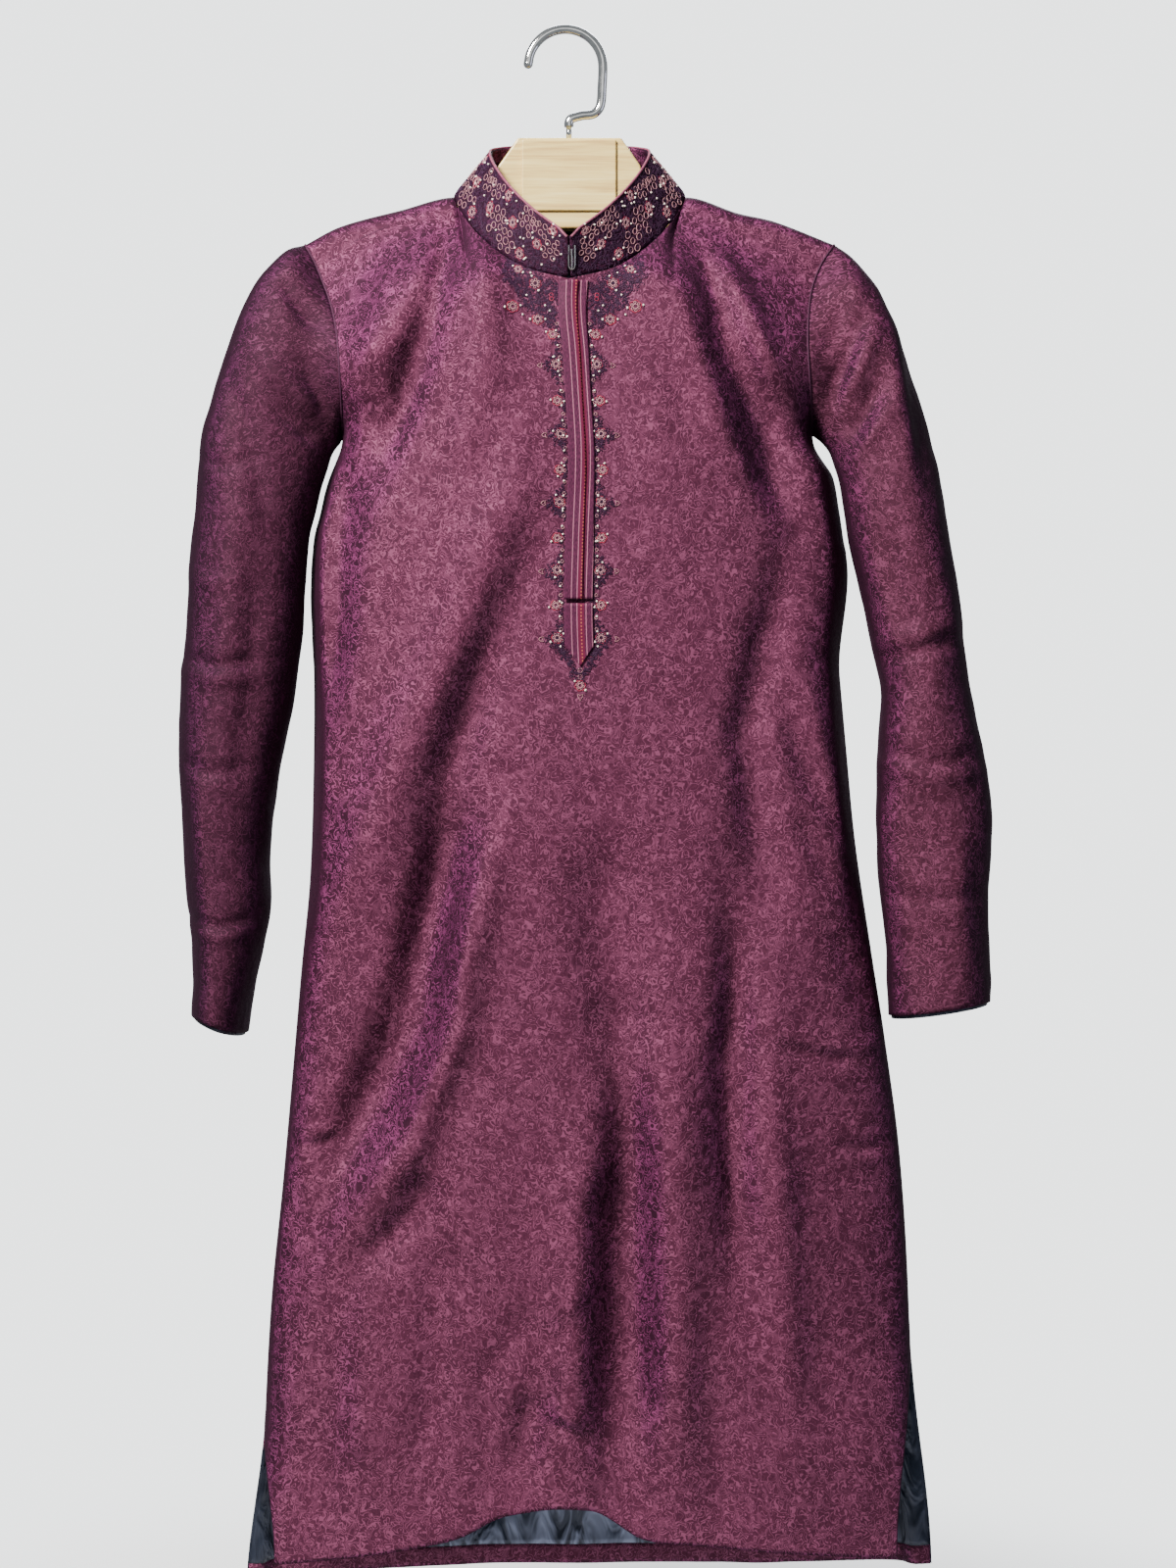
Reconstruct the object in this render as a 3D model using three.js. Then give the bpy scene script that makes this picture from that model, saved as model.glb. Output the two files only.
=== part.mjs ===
// A long-sleeved kurta hanging on a wooden coat hanger.
// Millimetres, +Z up. The garment's front faces -Y and "left" is the side at -X. The origin is the
// inside top of the hanger's hook, where a rail carries it, so "down" is the distance below it.
import * as THREE from 'three';

// ---------------------------------------------------------------------------- driving sizes
const CLOTH = 2;                 // outer cloth with its lining, as one wall
const THIN = 1;                  // a single band or lining
const SEAM_GAP = 0.3;            // between two pieces at a seam
const ARMHOLE_GAP = 0.4;
const COLLAR_WALL = 2.4;
const RIDGE_RADIUS = 12;         // roll of the cloth over the hanger's arms
const EDGE_POWER = 2.4;          // how square the body's cross-section is towards its side seams
const ARMHOLE_SQUEEZE = 0.76;    // the part of that section that ends at an armhole
const ARMHOLE_BLEND = 70;        // height over which the section closes, above the armpit
const ARMHOLE_ROWS = 8;          // rows of cloth from the shoulder tip to the armpit
const LOWER_ROWS = 19;           // rows from the armpit to the hem
const NECK_X = 1;                // the neck's centre line
const NECK_Y = -18;
const SLIT_TOP = { left: 1069, right: 996 };
const SLIT_SPREAD = { front: 16, back: 12, over: 110 };

// Shoulder ridge, from the left tip to the right tip; the neck lies between the middle rows.
const RIDGE = [
  { x: -204, down: 164 }, { x: -177, down: 150 }, { x: -129, down: 137 }, { x: -89, down: 127 },
  { x: 91, down: 127 }, { x: 103, down: 129 }, { x: 130, down: 139 }, { x: 160, down: 146 },
  { x: 206, down: 164 },
];
const SHOULDER_STEPS = [0, 0.08, 0.22, 0.4, 0.6, 0.8, 1];   // columns from a tip to the neck

// Armhole and side seam, as seen from the front, down to the hem.
const LEFT_EDGE = [
  { down: 164, x: -204 }, { down: 183, x: -194 }, { down: 221, x: -180 }, { down: 263, x: -174 },
  { down: 315, x: -175 }, { down: 385, x: -190 }, { down: 445, x: -198 }, { down: 539, x: -199 },
  { down: 653, x: -201 }, { down: 724, x: -207 }, { down: 886, x: -221 }, { down: 977, x: -230 },
  { down: 1066, x: -235 }, { down: 1206, x: -240 },
];
const RIGHT_EDGE = [
  { down: 164, x: 206 }, { down: 183, x: 194 }, { down: 208, x: 186 }, { down: 254, x: 183 },
  { down: 312, x: 189 }, { down: 385, x: 201 }, { down: 442, x: 207 }, { down: 552, x: 217 },
  { down: 631, x: 224 }, { down: 718, x: 236 }, { down: 776, x: 245 }, { down: 869, x: 257 },
  { down: 984, x: 264 }, { down: 1190, x: 268 },
];
const ARMPIT = { left: 315, right: 312 };

// Free edges of the two panels below the slits: how far each lies from the seam line.
const FLARE = { frontLeft: 15, frontRight: -17, backLeft: -11, backRight: 15 };

// Hems. The front hem is caught up in the middle.
const FRONT_HEM = [
  { x: -222, down: 1176 }, { x: -155, down: 1166 }, { x: -85, down: 1152 }, { x: -45, down: 1134 },
  { x: 17, down: 1130 }, { x: 55, down: 1151 }, { x: 94, down: 1156 }, { x: 162, down: 1163 },
  { x: 249, down: 1171 },
];
const BACK_HEM = [
  { x: -251, down: 1204 }, { x: -90, down: 1199 }, { x: 60, down: 1197 }, { x: 180, down: 1195 },
  { x: 283, down: 1189 },
];

// How far each panel's middle stands from the hanger's plane.
const BODY_DEPTH = [
  { down: 120, front: 62, back: 26 }, { down: 200, front: 68, back: 32 },
  { down: 320, front: 70, back: 38 }, { down: 450, front: 67, back: 38 },
  { down: 620, front: 62, back: 36 }, { down: 800, front: 60, back: 38 },
  { down: 1000, front: 62, back: 42 }, { down: 1200, front: 66, back: 46 },
];

// Band collar by angle round the neck, 0 at the back and 180 at the front: its lower seam and its
// upper edge, each as half width, depth (to -Y at the front) and distance down.
const COLLAR = [
  { angle: 0, half: 0, y: 26, down: 114, topHalf: 0, topY: 30, topDown: 81 },
  { angle: 30, half: 41, y: 23, down: 115, topHalf: 31, topY: 27, topDown: 82 },
  { angle: 60, half: 74, y: 14, down: 118, topHalf: 54, topY: 13, topDown: 86 },
  { angle: 90, half: 90, y: 0, down: 127, topHalf: 62, topY: -8, topDown: 95 },
  { angle: 120, half: 70, y: -36, down: 162, topHalf: 50, topY: -38, topDown: 121 },
  { angle: 150, half: 38, y: -59, down: 190, topHalf: 28, topY: -62, topDown: 148 },
  { angle: 180, half: 0, y: -68, down: 202, topHalf: 0, topY: -77, topDown: 171 },
];
const FRONT_NECK_ANGLES = [90, 107, 124, 141, 158, 172, 183, 191, 204, 219, 236, 253, 270];
const BACK_NECK_ANGLES = [-90, -72, -54, -36, -18, 0, 18, 36, 54, 72, 90];
const COLLAR_ROWS = 3;

// Long folds: a ridge has a positive height, a trough a negative one.
const FRONT_FOLDS = [
  { name: 'left neck ridge', height: 9, width: 12,
    path: [[-102, 151], [-111, 205], [-136, 276], [-158, 358]] },
  { name: 'left neck trough', height: -9, width: 12,
    path: [[-92, 160], [-97, 213], [-111, 270], [-146, 353]] },
  { name: 'right neck trough', height: -9, width: 12,
    path: [[95, 159], [111, 201], [129, 239], [156, 298], [164, 364]] },
  { name: 'right neck ridge', height: 8, width: 12,
    path: [[110, 165], [127, 205], [146, 250], [170, 310]] },
  { name: 'long diagonal trough', height: -14, width: 18,
    path: [[-53, 582], [-86, 629], [-104, 700], [-112, 761], [-150, 836], [-197, 923]] },
  { name: 'long diagonal ridge', height: 11, width: 16,
    path: [[-48, 600], [-71, 685], [-86, 770], [-118, 855], [-182, 946]] },
  { name: 'short diagonal trough', height: -8, width: 15,
    path: [[-104, 874], [-114, 906], [-165, 959]] },
  { name: 'hem arch', height: -10, width: 16,
    path: [[8, 977], [-25, 997], [-53, 1030], [-60, 1132]] },
  { name: 'middle trough', height: -15, width: 22, path: [[23, 863], [28, 951], [34, 1143]] },
  { name: 'right long trough', height: -8, width: 15,
    path: [[133, 600], [133, 742], [120, 790], [120, 846], [134, 951]] },
];
const BACK_FOLDS = [
  { name: 'left blade trough', height: -8, width: 18, path: [[-120, 170], [-112, 300], [-96, 430]] },
  { name: 'right blade trough', height: -7, width: 18, path: [[128, 168], [118, 290], [104, 400]] },
  { name: 'left skirt trough', height: -12, width: 22, path: [[-70, 560], [-92, 760], [-120, 980]] },
  { name: 'left skirt ridge', height: 7, width: 20, path: [[-40, 640], [-52, 860], [-64, 1200]] },
  { name: 'middle skirt trough', height: -11, width: 24, path: [[20, 760], [14, 960], [8, 1200]] },
  { name: 'right skirt trough', height: -12, width: 22, path: [[96, 600], [124, 820], [150, 1190]] },
];

// Sleeves, a row for each section: its outer and inner edge seen from the front, its half depth, and
// how far its middle lies to the front. The first section is the armhole, so it is not listed.
const LEFT_SLEEVE = [
  { outX: -220, outDown: 171, inX: -180, inDown: 321, half: 29, forward: 6 },
  { outX: -239, outDown: 190, inX: -184, inDown: 328, half: 32, forward: 6 },
  { outX: -253, outDown: 216, inX: -187, inDown: 339, half: 35, forward: 6 },
  { outX: -264, outDown: 245, inX: -191, inDown: 354, half: 37, forward: 6 },
  { outX: -274, outDown: 278, inX: -195, inDown: 371, half: 39, forward: 6 },
  { outX: -283, outDown: 312, inX: -200, inDown: 392, half: 41, forward: 6 },
  { outX: -287, outDown: 355, inX: -203, inDown: 425, half: 43, forward: 6 },
  { outX: -293, outDown: 407, inX: -205, inDown: 464, half: 45, forward: 6 },
  { outX: -295, outDown: 461, inX: -211, inDown: 510, half: 46, forward: 7 },
  { outX: -300, outDown: 506, inX: -220, inDown: 556, half: 47, forward: 8 },
  { outX: -301, outDown: 559, inX: -226, inDown: 594, half: 47, forward: 9 },
  { outX: -298, outDown: 613, inX: -230, inDown: 632, half: 48, forward: 10 },
  { outX: -294, outDown: 662, inX: -230, inDown: 677, half: 48, forward: 11 },
  { outX: -290, outDown: 704, inX: -236, inDown: 711, half: 49, forward: 12 },
  { outX: -290, outDown: 758, inX: -247, inDown: 773, half: 49, forward: 13 },
];
const RIGHT_SLEEVE = [
  { outX: 222, outDown: 177, inX: 196, inDown: 318, half: 29, forward: 6 },
  { outX: 237, outDown: 195, inX: 202, inDown: 325, half: 32, forward: 6 },
  { outX: 250, outDown: 226, inX: 206, inDown: 335, half: 35, forward: 6 },
  { outX: 262, outDown: 255, inX: 210, inDown: 348, half: 37, forward: 6 },
  { outX: 274, outDown: 289, inX: 213, inDown: 366, half: 39, forward: 6 },
  { outX: 282, outDown: 324, inX: 217, inDown: 394, half: 41, forward: 6 },
  { outX: 291, outDown: 369, inX: 223, inDown: 423, half: 43, forward: 6 },
  { outX: 299, outDown: 423, inX: 232, inDown: 464, half: 44, forward: 6 },
  { outX: 306, outDown: 476, inX: 241, inDown: 508, half: 44, forward: 7 },
  { outX: 314, outDown: 524, inX: 240, inDown: 546, half: 43, forward: 8 },
  { outX: 323, outDown: 571, inX: 239, inDown: 582, half: 42, forward: 9 },
  { outX: 327, outDown: 609, inX: 239, inDown: 620, half: 40, forward: 10 },
  { outX: 325, outDown: 662, inX: 241, inDown: 664, half: 39, forward: 11 },
  { outX: 325, outDown: 708, inX: 245, inDown: 713, half: 38, forward: 12 },
  { outX: 325, outDown: 749, inX: 247, inDown: 760, half: 38, forward: 13 },
];
const CUFF_LINING = { inside: 14, below: 2.5 };

// Placket, by rows and columns of the front panel.
const PLACKET = {
  leftColumn: 11.2, overlapColumn: 12.3, rightColumn: 13.03, underLeftColumn: 11.6,
  topDown: 204, endDown: 445, pointDown: 478, tipDown: 493, lift: 0.6,
};

// Metal hook and eye at the collar's front, as heights down the collar.
const CLASP = { x: 3, top: 178, bottom: 195, wire: 0.6, eyeHalf: 2.2, collarY: -73.7, lean: 0.29, sides: 3 };

// Lower part of the back panel's inside: where its lining starts and its hem facing starts.
const BACK_INSIDE = { liningTop: 21, facingTop: 26.2, lift: 0.6 };

// Hanger.
const ARM = {
  halfThick: 5.3, halfTall: 14, underRidge: 4, sides: 12, endTaper: 0.72, rootX: 59.7, rootDown: 112,
};
const BLOCK = { back: 9, front: -7, bevel: 2 };
const FACE = { left: -36, right: 37, top: 84, bottom: 139, thick: 2.6, bevel: 1 };
const HOOK = { rod: 3.6, bend: 29, centreX: -2.3, legDown: 56, stem: 2.1, stemX: 0.4, sides: 5 };

// ---------------------------------------------------------------------------- small helpers
const clamp = (value, low, high) => Math.min(Math.max(value, low), high);
const smooth = (value) => {
  const t = clamp(value, 0, 1);
  return t * t * (3 - 2 * t);
};
const mix = (a, b, t) => a + (b - a) * t;
const point = (x, y, down) => new THREE.Vector3(x, y, -down);
const DOWNWARD = point(0, 0, 1);

// A smooth curve through one column of a table, read by another column that rises down the table.
function curveOf(table, column, key) {
  const keys = table.map((row) => row[key]);
  const values = table.map((row) => row[column]);
  const last = keys.length - 1;
  const slope = (i) => {
    const before = Math.max(i - 1, 0);
    const after = Math.min(i + 1, last);
    return (values[after] - values[before]) / (keys[after] - keys[before]);
  };
  return (at) => {
    const k = clamp(at, keys[0], keys[last]);
    let i = 0;
    while (i < last - 1 && k > keys[i + 1]) i += 1;
    const span = keys[i + 1] - keys[i];
    const t = (k - keys[i]) / span;
    const rise = t * t * (3 - 2 * t);
    const leave = t * (1 - t) * (1 - t) * span * slope(i);
    const arrive = t * t * (t - 1) * span * slope(i + 1);
    return mix(values[i], values[i + 1], rise) + leave + arrive;
  };
}

// ---------------------------------------------------------------------------- the body's form
const ridgeDown = curveOf(RIDGE, 'down', 'x');
const leftEdge = curveOf(LEFT_EDGE, 'x', 'down');
const rightEdge = curveOf(RIGHT_EDGE, 'x', 'down');
const middleDepth = {
  front: curveOf(BODY_DEPTH, 'front', 'down'),
  back: curveOf(BODY_DEPTH, 'back', 'down'),
};

// Height of all folds at a place on a panel: each is a soft bump across its path, fading at both ends.
function foldHeight(folds, x, down) {
  let total = 0;
  for (const { path, width, height } of folds) {
    let best = Infinity;
    let bestAlong = 0;
    for (let i = 0; i < path.length - 1; i += 1) {
      const [x0, d0] = path[i];
      const [dx, dd] = [path[i + 1][0] - x0, path[i + 1][1] - d0];
      const t = clamp(((x - x0) * dx + (down - d0) * dd) / (dx * dx + dd * dd), 0, 1);
      const distance = Math.hypot(x - x0 - t * dx, down - d0 - t * dd);
      if (distance < best) [best, bestAlong] = [distance, (i + t) / (path.length - 1)];
    }
    const ends = smooth(bestAlong / 0.3) * smooth((1 - bestAlong) / 0.25);
    total += height * (0.25 + 0.75 * ends) * Math.exp(-((best / width) ** 2));
  }
  return total;
}

// How far a panel stands from the hanger's plane at a place seen from the front.
function standOff(x, down, panel) {
  const [left, right] = [leftEdge(down), rightEdge(down)];
  const across = clamp((2 * x - left - right) / (right - left), -1, 1);
  const armpit = across < 0 ? ARMPIT.left : ARMPIT.right;
  const squeeze = mix(1, ARMHOLE_SQUEEZE, smooth((armpit - down) / ARMHOLE_BLEND));
  const section = (1 - Math.abs(across * squeeze) ** EDGE_POWER) ** (1 / EDGE_POWER);
  const below = Math.max(down - ridgeDown(x), 0);
  const roll = RIDGE_RADIUS * Math.sqrt(1 - (1 - Math.min(below / RIDGE_RADIUS, 1)) ** 2);
  const reach = 75 + 90 * (x / 200) ** 2;
  const swell = (middleDepth[panel](down) - RIDGE_RADIUS) * smooth(below / reach);
  const slitTop = across < 0 ? SLIT_TOP.left : SLIT_TOP.right;
  const spread = SLIT_SPREAD[panel] * smooth((down - slitTop) / SLIT_SPREAD.over) * across ** 4;
  const folds = panel === 'front' ? FRONT_FOLDS : BACK_FOLDS;
  const fade = smooth((1 - Math.abs(across)) / 0.25) * smooth(below / 60);
  return (roll + swell) * section + spread + fade * foldHeight(folds, x, down);
}

const panelY = (x, down, panel) => (panel === 'front' ? -1 : 1) * standOff(x, down, panel);

// ---------------------------------------------------------------------------- cloth walls
// A closed wall between an outer and an inner grid of points, [row][column], rows running down.
// Columns run so that the outside faces out; a tube's last column joins its first.
function clothWall(outer, inner, isTube) {
  const rows = outer.length;
  const columns = outer[0].length;
  const at = (side, r, c) => side * rows * columns + r * columns + (c % columns);
  const faces = [];
  const quad = (a, b, c, d) => faces.push(a, b, c, a, c, d);
  const spans = isTube ? columns : columns - 1;
  for (let c = 0; c < spans; c += 1) {
    for (let r = 0; r < rows - 1; r += 1) {
      quad(at(0, r, c), at(0, r + 1, c), at(0, r + 1, c + 1), at(0, r, c + 1));
      quad(at(1, r, c), at(1, r, c + 1), at(1, r + 1, c + 1), at(1, r + 1, c));
    }
    quad(at(0, 0, c), at(0, 0, c + 1), at(1, 0, c + 1), at(1, 0, c));
    quad(at(0, rows - 1, c + 1), at(0, rows - 1, c), at(1, rows - 1, c), at(1, rows - 1, c + 1));
  }
  for (let r = 0; r < rows - 1 && !isTube; r += 1) {
    quad(at(0, r + 1, 0), at(0, r, 0), at(1, r, 0), at(1, r + 1, 0));
    quad(at(0, r, spans), at(0, r + 1, spans), at(1, r + 1, spans), at(1, r, spans));
  }
  const geometry = new THREE.BufferGeometry().setFromPoints([...outer.flat(), ...inner.flat()]);
  geometry.setIndex(faces);
  return geometry;
}

// Outward unit normals of a grid of points, from the points beside each one.
function gridNormals(grid, isTube) {
  const rows = grid.length;
  const columns = grid[0].length;
  const beside = (c, step) => (isTube ? (c + step + columns) % columns : clamp(c + step, 0, columns - 1));
  return grid.map((line, r) => line.map((_, c) => {
    const downward = grid[Math.min(r + 1, rows - 1)][c].clone().sub(grid[Math.max(r - 1, 0)][c]);
    const along = line[beside(c, 1)].clone().sub(line[beside(c, -1)]);
    return downward.cross(along).normalize();
  }));
}

const moved = (grid, directions, distance) => grid.map((line, r) => line.map(
  (p, c) => p.clone().addScaledVector(directions[r][c], distance)));

// ---------------------------------------------------------------------------- front and back
const collarCurves = Object.fromEntries(
  ['half', 'y', 'down', 'topHalf', 'topY', 'topDown'].map((name) => [name, curveOf(COLLAR, name, 'angle')]));

// A point of the collar's seam (height 0) up to its edge (height 1), at an angle round the neck.
function collarPoint(angle, height) {
  const turn = Math.abs(angle > 180 ? angle - 360 : angle);
  const side = angle < 0 || angle > 180 ? 1 : -1;
  const value = (low, high) => mix(collarCurves[low](turn), collarCurves[high](turn), height);
  return point(NECK_X + side * value('half', 'topHalf'), value('y', 'topY'), value('down', 'topDown'));
}

// The top edge of a panel: shoulder, neckline, shoulder, from the left tip to the right tip.
function topEdge(neckPoints) {
  const ridge = (tipX, neckX) => SHOULDER_STEPS.map((step) => {
    const x = mix(tipX, neckX, step);
    return point(x, 0, ridgeDown(x));
  });
  const first = neckPoints[0];
  const last = neckPoints[neckPoints.length - 1];
  const leftShoulder = ridge(RIDGE[0].x, first.x).slice(0, -1);
  const rightShoulder = ridge(RIDGE[RIDGE.length - 1].x, last.x).reverse().slice(1);
  return [...leftShoulder, ...neckPoints, ...rightShoulder];
}

// Rows down a side: spaced like a turning circle in the armhole, so that a sleeve's ring fits it.
function edgeRows(tip, armpit, hem) {
  const rows = [];
  for (let j = 0; j <= ARMHOLE_ROWS; j += 1) {
    rows.push(mix(tip, armpit, (1 - Math.cos((Math.PI * j) / ARMHOLE_ROWS)) / 2));
  }
  for (let j = 1; j <= LOWER_ROWS; j += 1) rows.push(mix(armpit, hem, (j / LOWER_ROWS) ** 0.97));
  return rows;
}

// One edge of a panel. Below the slit it leaves the seam line by the flare.
function sideEdge(side, panel, hem, flare) {
  const edge = side === 'left' ? leftEdge : rightEdge;
  const tip = ridgeDown(side === 'left' ? RIDGE[0].x : RIDGE[RIDGE.length - 1].x);
  return edgeRows(tip, ARMPIT[side], hem).map((down) => {
    const free = smooth((down - SLIT_TOP[side]) / (hem - SLIT_TOP[side]));
    const x = edge(down);
    return point(x + flare * free, panelY(x, down, panel), down);
  });
}

// A panel's grid, filled in from its four edges as seen from the front, then given its depth.
function panelGrid(panel) {
  const isFront = panel === 'front';
  const hemTable = isFront ? FRONT_HEM : BACK_HEM;
  const hemDown = curveOf(hemTable, 'down', 'x');
  const angles = isFront ? FRONT_NECK_ANGLES : [...BACK_NECK_ANGLES].reverse();
  const neck = angles.map((angle) => collarPoint(angle, 0));
  const top = topEdge(neck);
  const flare = isFront ? [FLARE.frontLeft, FLARE.frontRight] : [FLARE.backLeft, FLARE.backRight];
  const left = sideEdge('left', panel, hemTable[0].down, flare[0]);
  const right = sideEdge('right', panel, hemTable[hemTable.length - 1].down, flare[1]);
  const rows = left.length - 1;
  const [leftTop, rightTop, leftFoot, rightFoot] = [left[0], right[0], left[rows], right[rows]];
  const halfGap = ((isFront ? -1 : 1) * SEAM_GAP) / 2;
  const grid = left.map((leftPoint, r) => {
    const v = (leftTop.z - leftPoint.z) / (leftTop.z - leftFoot.z);
    return top.map((topPoint) => {
      const u = (topPoint.x - leftTop.x) / (rightTop.x - leftTop.x);
      const footX = mix(leftFoot.x, rightFoot.x, u);
      const between = (axis, foot) => (1 - v) * topPoint[axis] + v * foot
        + (1 - u) * leftPoint[axis] + u * right[r][axis]
        - (1 - v) * mix(leftTop[axis], rightTop[axis], u) - v * mix(leftFoot[axis], rightFoot[axis], u);
      const x = between('x', footX);
      const z = between('z', -hemDown(footX));
      const fit = topPoint.y - panelY(topPoint.x, -topPoint.z, panel);
      const y = panelY(x, -z, panel) + fit * (1 - v) ** 10;
      return new THREE.Vector3(x, y + halfGap, z);
    });
  });
  return isFront ? grid : grid.map((line) => line.reverse());
}

// The directions in which a panel's wall runs inwards: square to its surface inside, and shared with
// the neighbour along a seam.
function panelInward(grid, panel) {
  const directions = gridNormals(grid, false).map((line) => line.map((n) => n.negate()));
  const columns = grid[0].length;
  const yInward = panel === 'front' ? 1 : -1;
  const tipToArmpit = grid[0][0].z - grid[ARMHOLE_ROWS][0].z;
  grid.forEach((line, r) => {
    for (const c of [0, columns - 1]) {
      const xInward = line[c].x < 0 ? 1 : -1;
      const height = (line[c].z - grid[ARMHOLE_ROWS][c].z) / tipToArmpit;
      const turn = Math.acos(clamp(2 * height - 1, -1, 1));
      if (r < ARMHOLE_ROWS) directions[r][c].set(0, yInward * Math.sin(turn), -Math.cos(turn));
      else directions[r][c].set(xInward, 0, r === ARMHOLE_ROWS ? 1 : 0);
      directions[r][c].normalize();
    }
  });
  grid[0].forEach((p, c) => {
    const isShoulder = Math.abs(p.y) < SEAM_GAP;
    if (isShoulder) directions[0][c].set(0, 0, -1);
    else directions[0][c].set(NECK_X - p.x, NECK_Y - p.y, 0).setLength(0.75).add(DOWNWARD).normalize();
  });
  return directions;
}

const frontOuter = panelGrid('front');
const backOuter = panelGrid('back');
const frontInner = moved(frontOuter, panelInward(frontOuter, 'front'), CLOTH);
const backInner = moved(backOuter, panelInward(backOuter, 'back'), CLOTH);

// ---------------------------------------------------------------------------- sleeves
// A sleeve's rings: the armhole, taken from both panels, then the sections of its table.
function sleeveRings(table, side) {
  const sign = side === 'left' ? -1 : 1;
  const frontColumn = side === 'left' ? 0 : frontOuter[0].length - 1;
  const backColumn = side === 'left' ? backOuter[0].length - 1 : 0;
  const count = 2 * ARMHOLE_ROWS;
  const armhole = [];
  for (let i = 0; i < count; i += 1) {
    const isFirstHalf = i <= ARMHOLE_ROWS;
    const row = isFirstHalf ? i : count - i;
    const fromFront = isFirstHalf === (side === 'left');
    const source = fromFront ? frontOuter[row][frontColumn] : backOuter[row][backColumn];
    armhole.push(source.clone().add(new THREE.Vector3(sign * ARMHOLE_GAP, 0, 0)));
  }
  const sections = table.map((row) => {
    const outer = point(row.outX, -row.forward, row.outDown);
    const inner = point(row.inX, -row.forward, row.inDown);
    const centre = outer.clone().add(inner).multiplyScalar(0.5);
    const half = outer.clone().sub(centre);
    return armhole.map((_, i) => {
      const turn = (2 * Math.PI * i) / count;
      const p = centre.clone().addScaledVector(half, Math.cos(turn));
      p.y += sign * row.half * Math.sin(turn);
      return p;
    });
  });
  return [armhole, ...sections];
}

// Sleeve walls run inwards square to the surface, and at the armhole as the panels' walls do.
function sleeveInward(rings) {
  const directions = gridNormals(rings, true).map((line) => line.map((n) => n.negate()));
  const centre = new THREE.Vector3();
  rings[0].forEach((p) => centre.addScaledVector(p, 1 / rings[0].length));
  rings[0].forEach((p, i) => {
    const turn = (2 * Math.PI * i) / rings[0].length;
    directions[0][i].set(0, -Math.sign(p.y - centre.y) * Math.abs(Math.sin(turn)), -Math.cos(turn));
  });
  return directions;
}

// A ring of lining inside the cuff, its lower edge a little below the sleeve's.
function cuffLining(rings, directions) {
  const last = rings.length - 1;
  const inset = CLOTH + SEAM_GAP;
  const hem = rings[last].map((p, i) => p.clone().addScaledVector(directions[last][i], inset));
  const upward = rings[last - 1].map((p, i) => p.clone()
    .addScaledVector(directions[last - 1][i], inset).sub(hem[i]).normalize());
  const outer = [
    hem.map((p, i) => p.clone().addScaledVector(upward[i], CUFF_LINING.inside)),
    hem.map((p, i) => p.clone().addScaledVector(upward[i], -CUFF_LINING.below)),
  ];
  const inward = outer.map(() => directions[last]);
  return clothWall(outer, moved(outer, inward, THIN), true);
}

// ---------------------------------------------------------------------------- collar
function collarWall() {
  const angles = [...FRONT_NECK_ANGLES, ...BACK_NECK_ANGLES.slice(1, -1)];
  const outer = [];
  for (let row = 0; row <= COLLAR_ROWS; row += 1) {
    outer.push(angles.map((angle) => {
      const rise = collarPoint(angle, 1).sub(collarPoint(angle, 0)).setLength(2 * SEAM_GAP);
      return collarPoint(angle, 1 - row / COLLAR_ROWS).add(rise);
    }));
  }
  const directions = gridNormals(outer, true).map((line) => line.map(
    (n) => new THREE.Vector3(-n.x, -n.y, 0).normalize()));
  return clothWall(outer, moved(outer, directions, COLLAR_WALL), true);
}

// ---------------------------------------------------------------------------- pieces on a panel
// A point on a grid at a fractional row and column, moved off its surface.
function onGrid(grid, normals, row, column, lift) {
  const r = Math.min(Math.floor(row), grid.length - 2);
  const c = Math.min(Math.floor(column), grid[0].length - 2);
  const blend = (source) => source[r][c].clone().lerp(source[r][c + 1], column - c)
    .lerp(source[r + 1][c].clone().lerp(source[r + 1][c + 1], column - c), row - r);
  return blend(grid).addScaledVector(blend(normals).normalize(), lift);
}

// The fractional row at which one column of the front lies at a given distance down.
function rowAt(down, column) {
  const c = Math.round(column);
  let r = 0;
  while (r < frontOuter.length - 2 && -frontOuter[r + 1][c].z < down) r += 1;
  const [above, below] = [-frontOuter[r][c].z, -frontOuter[r + 1][c].z];
  return r + clamp((down - above) / (below - above), 0, 1);
}

// A band on the front: rows of [row, left column, right column], its wall standing off the panel.
function bandOnFront(rows, lift) {
  const normals = gridNormals(frontOuter, false);
  const line = ([row, left, right], height) => [left, (left + right) / 2, right].map(
    (column) => onGrid(frontOuter, normals, row, column, height));
  const inner = rows.map((row) => line(row, lift));
  const outer = rows.map((row) => line(row, lift + THIN));
  return clothWall(outer, inner, false);
}

// Rows of a straight band between two heights, with every row of the panel between them.
function bandRows(topDown, endDown, left, right) {
  const [first, last] = [rowAt(topDown, left), rowAt(endDown, left)];
  const whole = [];
  for (let r = Math.floor(first) + 1; r < last - 0.05; r += 1) whole.push(r);
  return [first, ...whole, last].map((row) => [row, left, right]);
}

function placketPieces() {
  const { leftColumn, overlapColumn, rightColumn, underLeftColumn, lift } = PLACKET;
  const { topDown, endDown, pointDown, tipDown } = PLACKET;
  const secondLayer = lift + THIN + SEAM_GAP;
  const centre = (leftColumn + rightColumn) / 2;
  const under = bandRows(topDown, endDown, underLeftColumn, rightColumn);
  const over = bandRows(topDown, endDown - 1, leftColumn, overlapColumn);
  const [start, shoulder, tip] = [endDown + 1, pointDown, tipDown].map((down) => rowAt(down, centre));
  const end = [
    [start, leftColumn, rightColumn], [(start + shoulder) / 2, leftColumn, rightColumn],
    [shoulder, leftColumn, rightColumn], [tip, centre - 0.05, centre + 0.05],
  ];
  return [
    ['placket_under', bandOnFront(under, lift)],
    ['placket_over', bandOnFront(over, secondLayer)],
    ['placket_end', bandOnFront(end, lift)],
  ];
}

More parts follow.
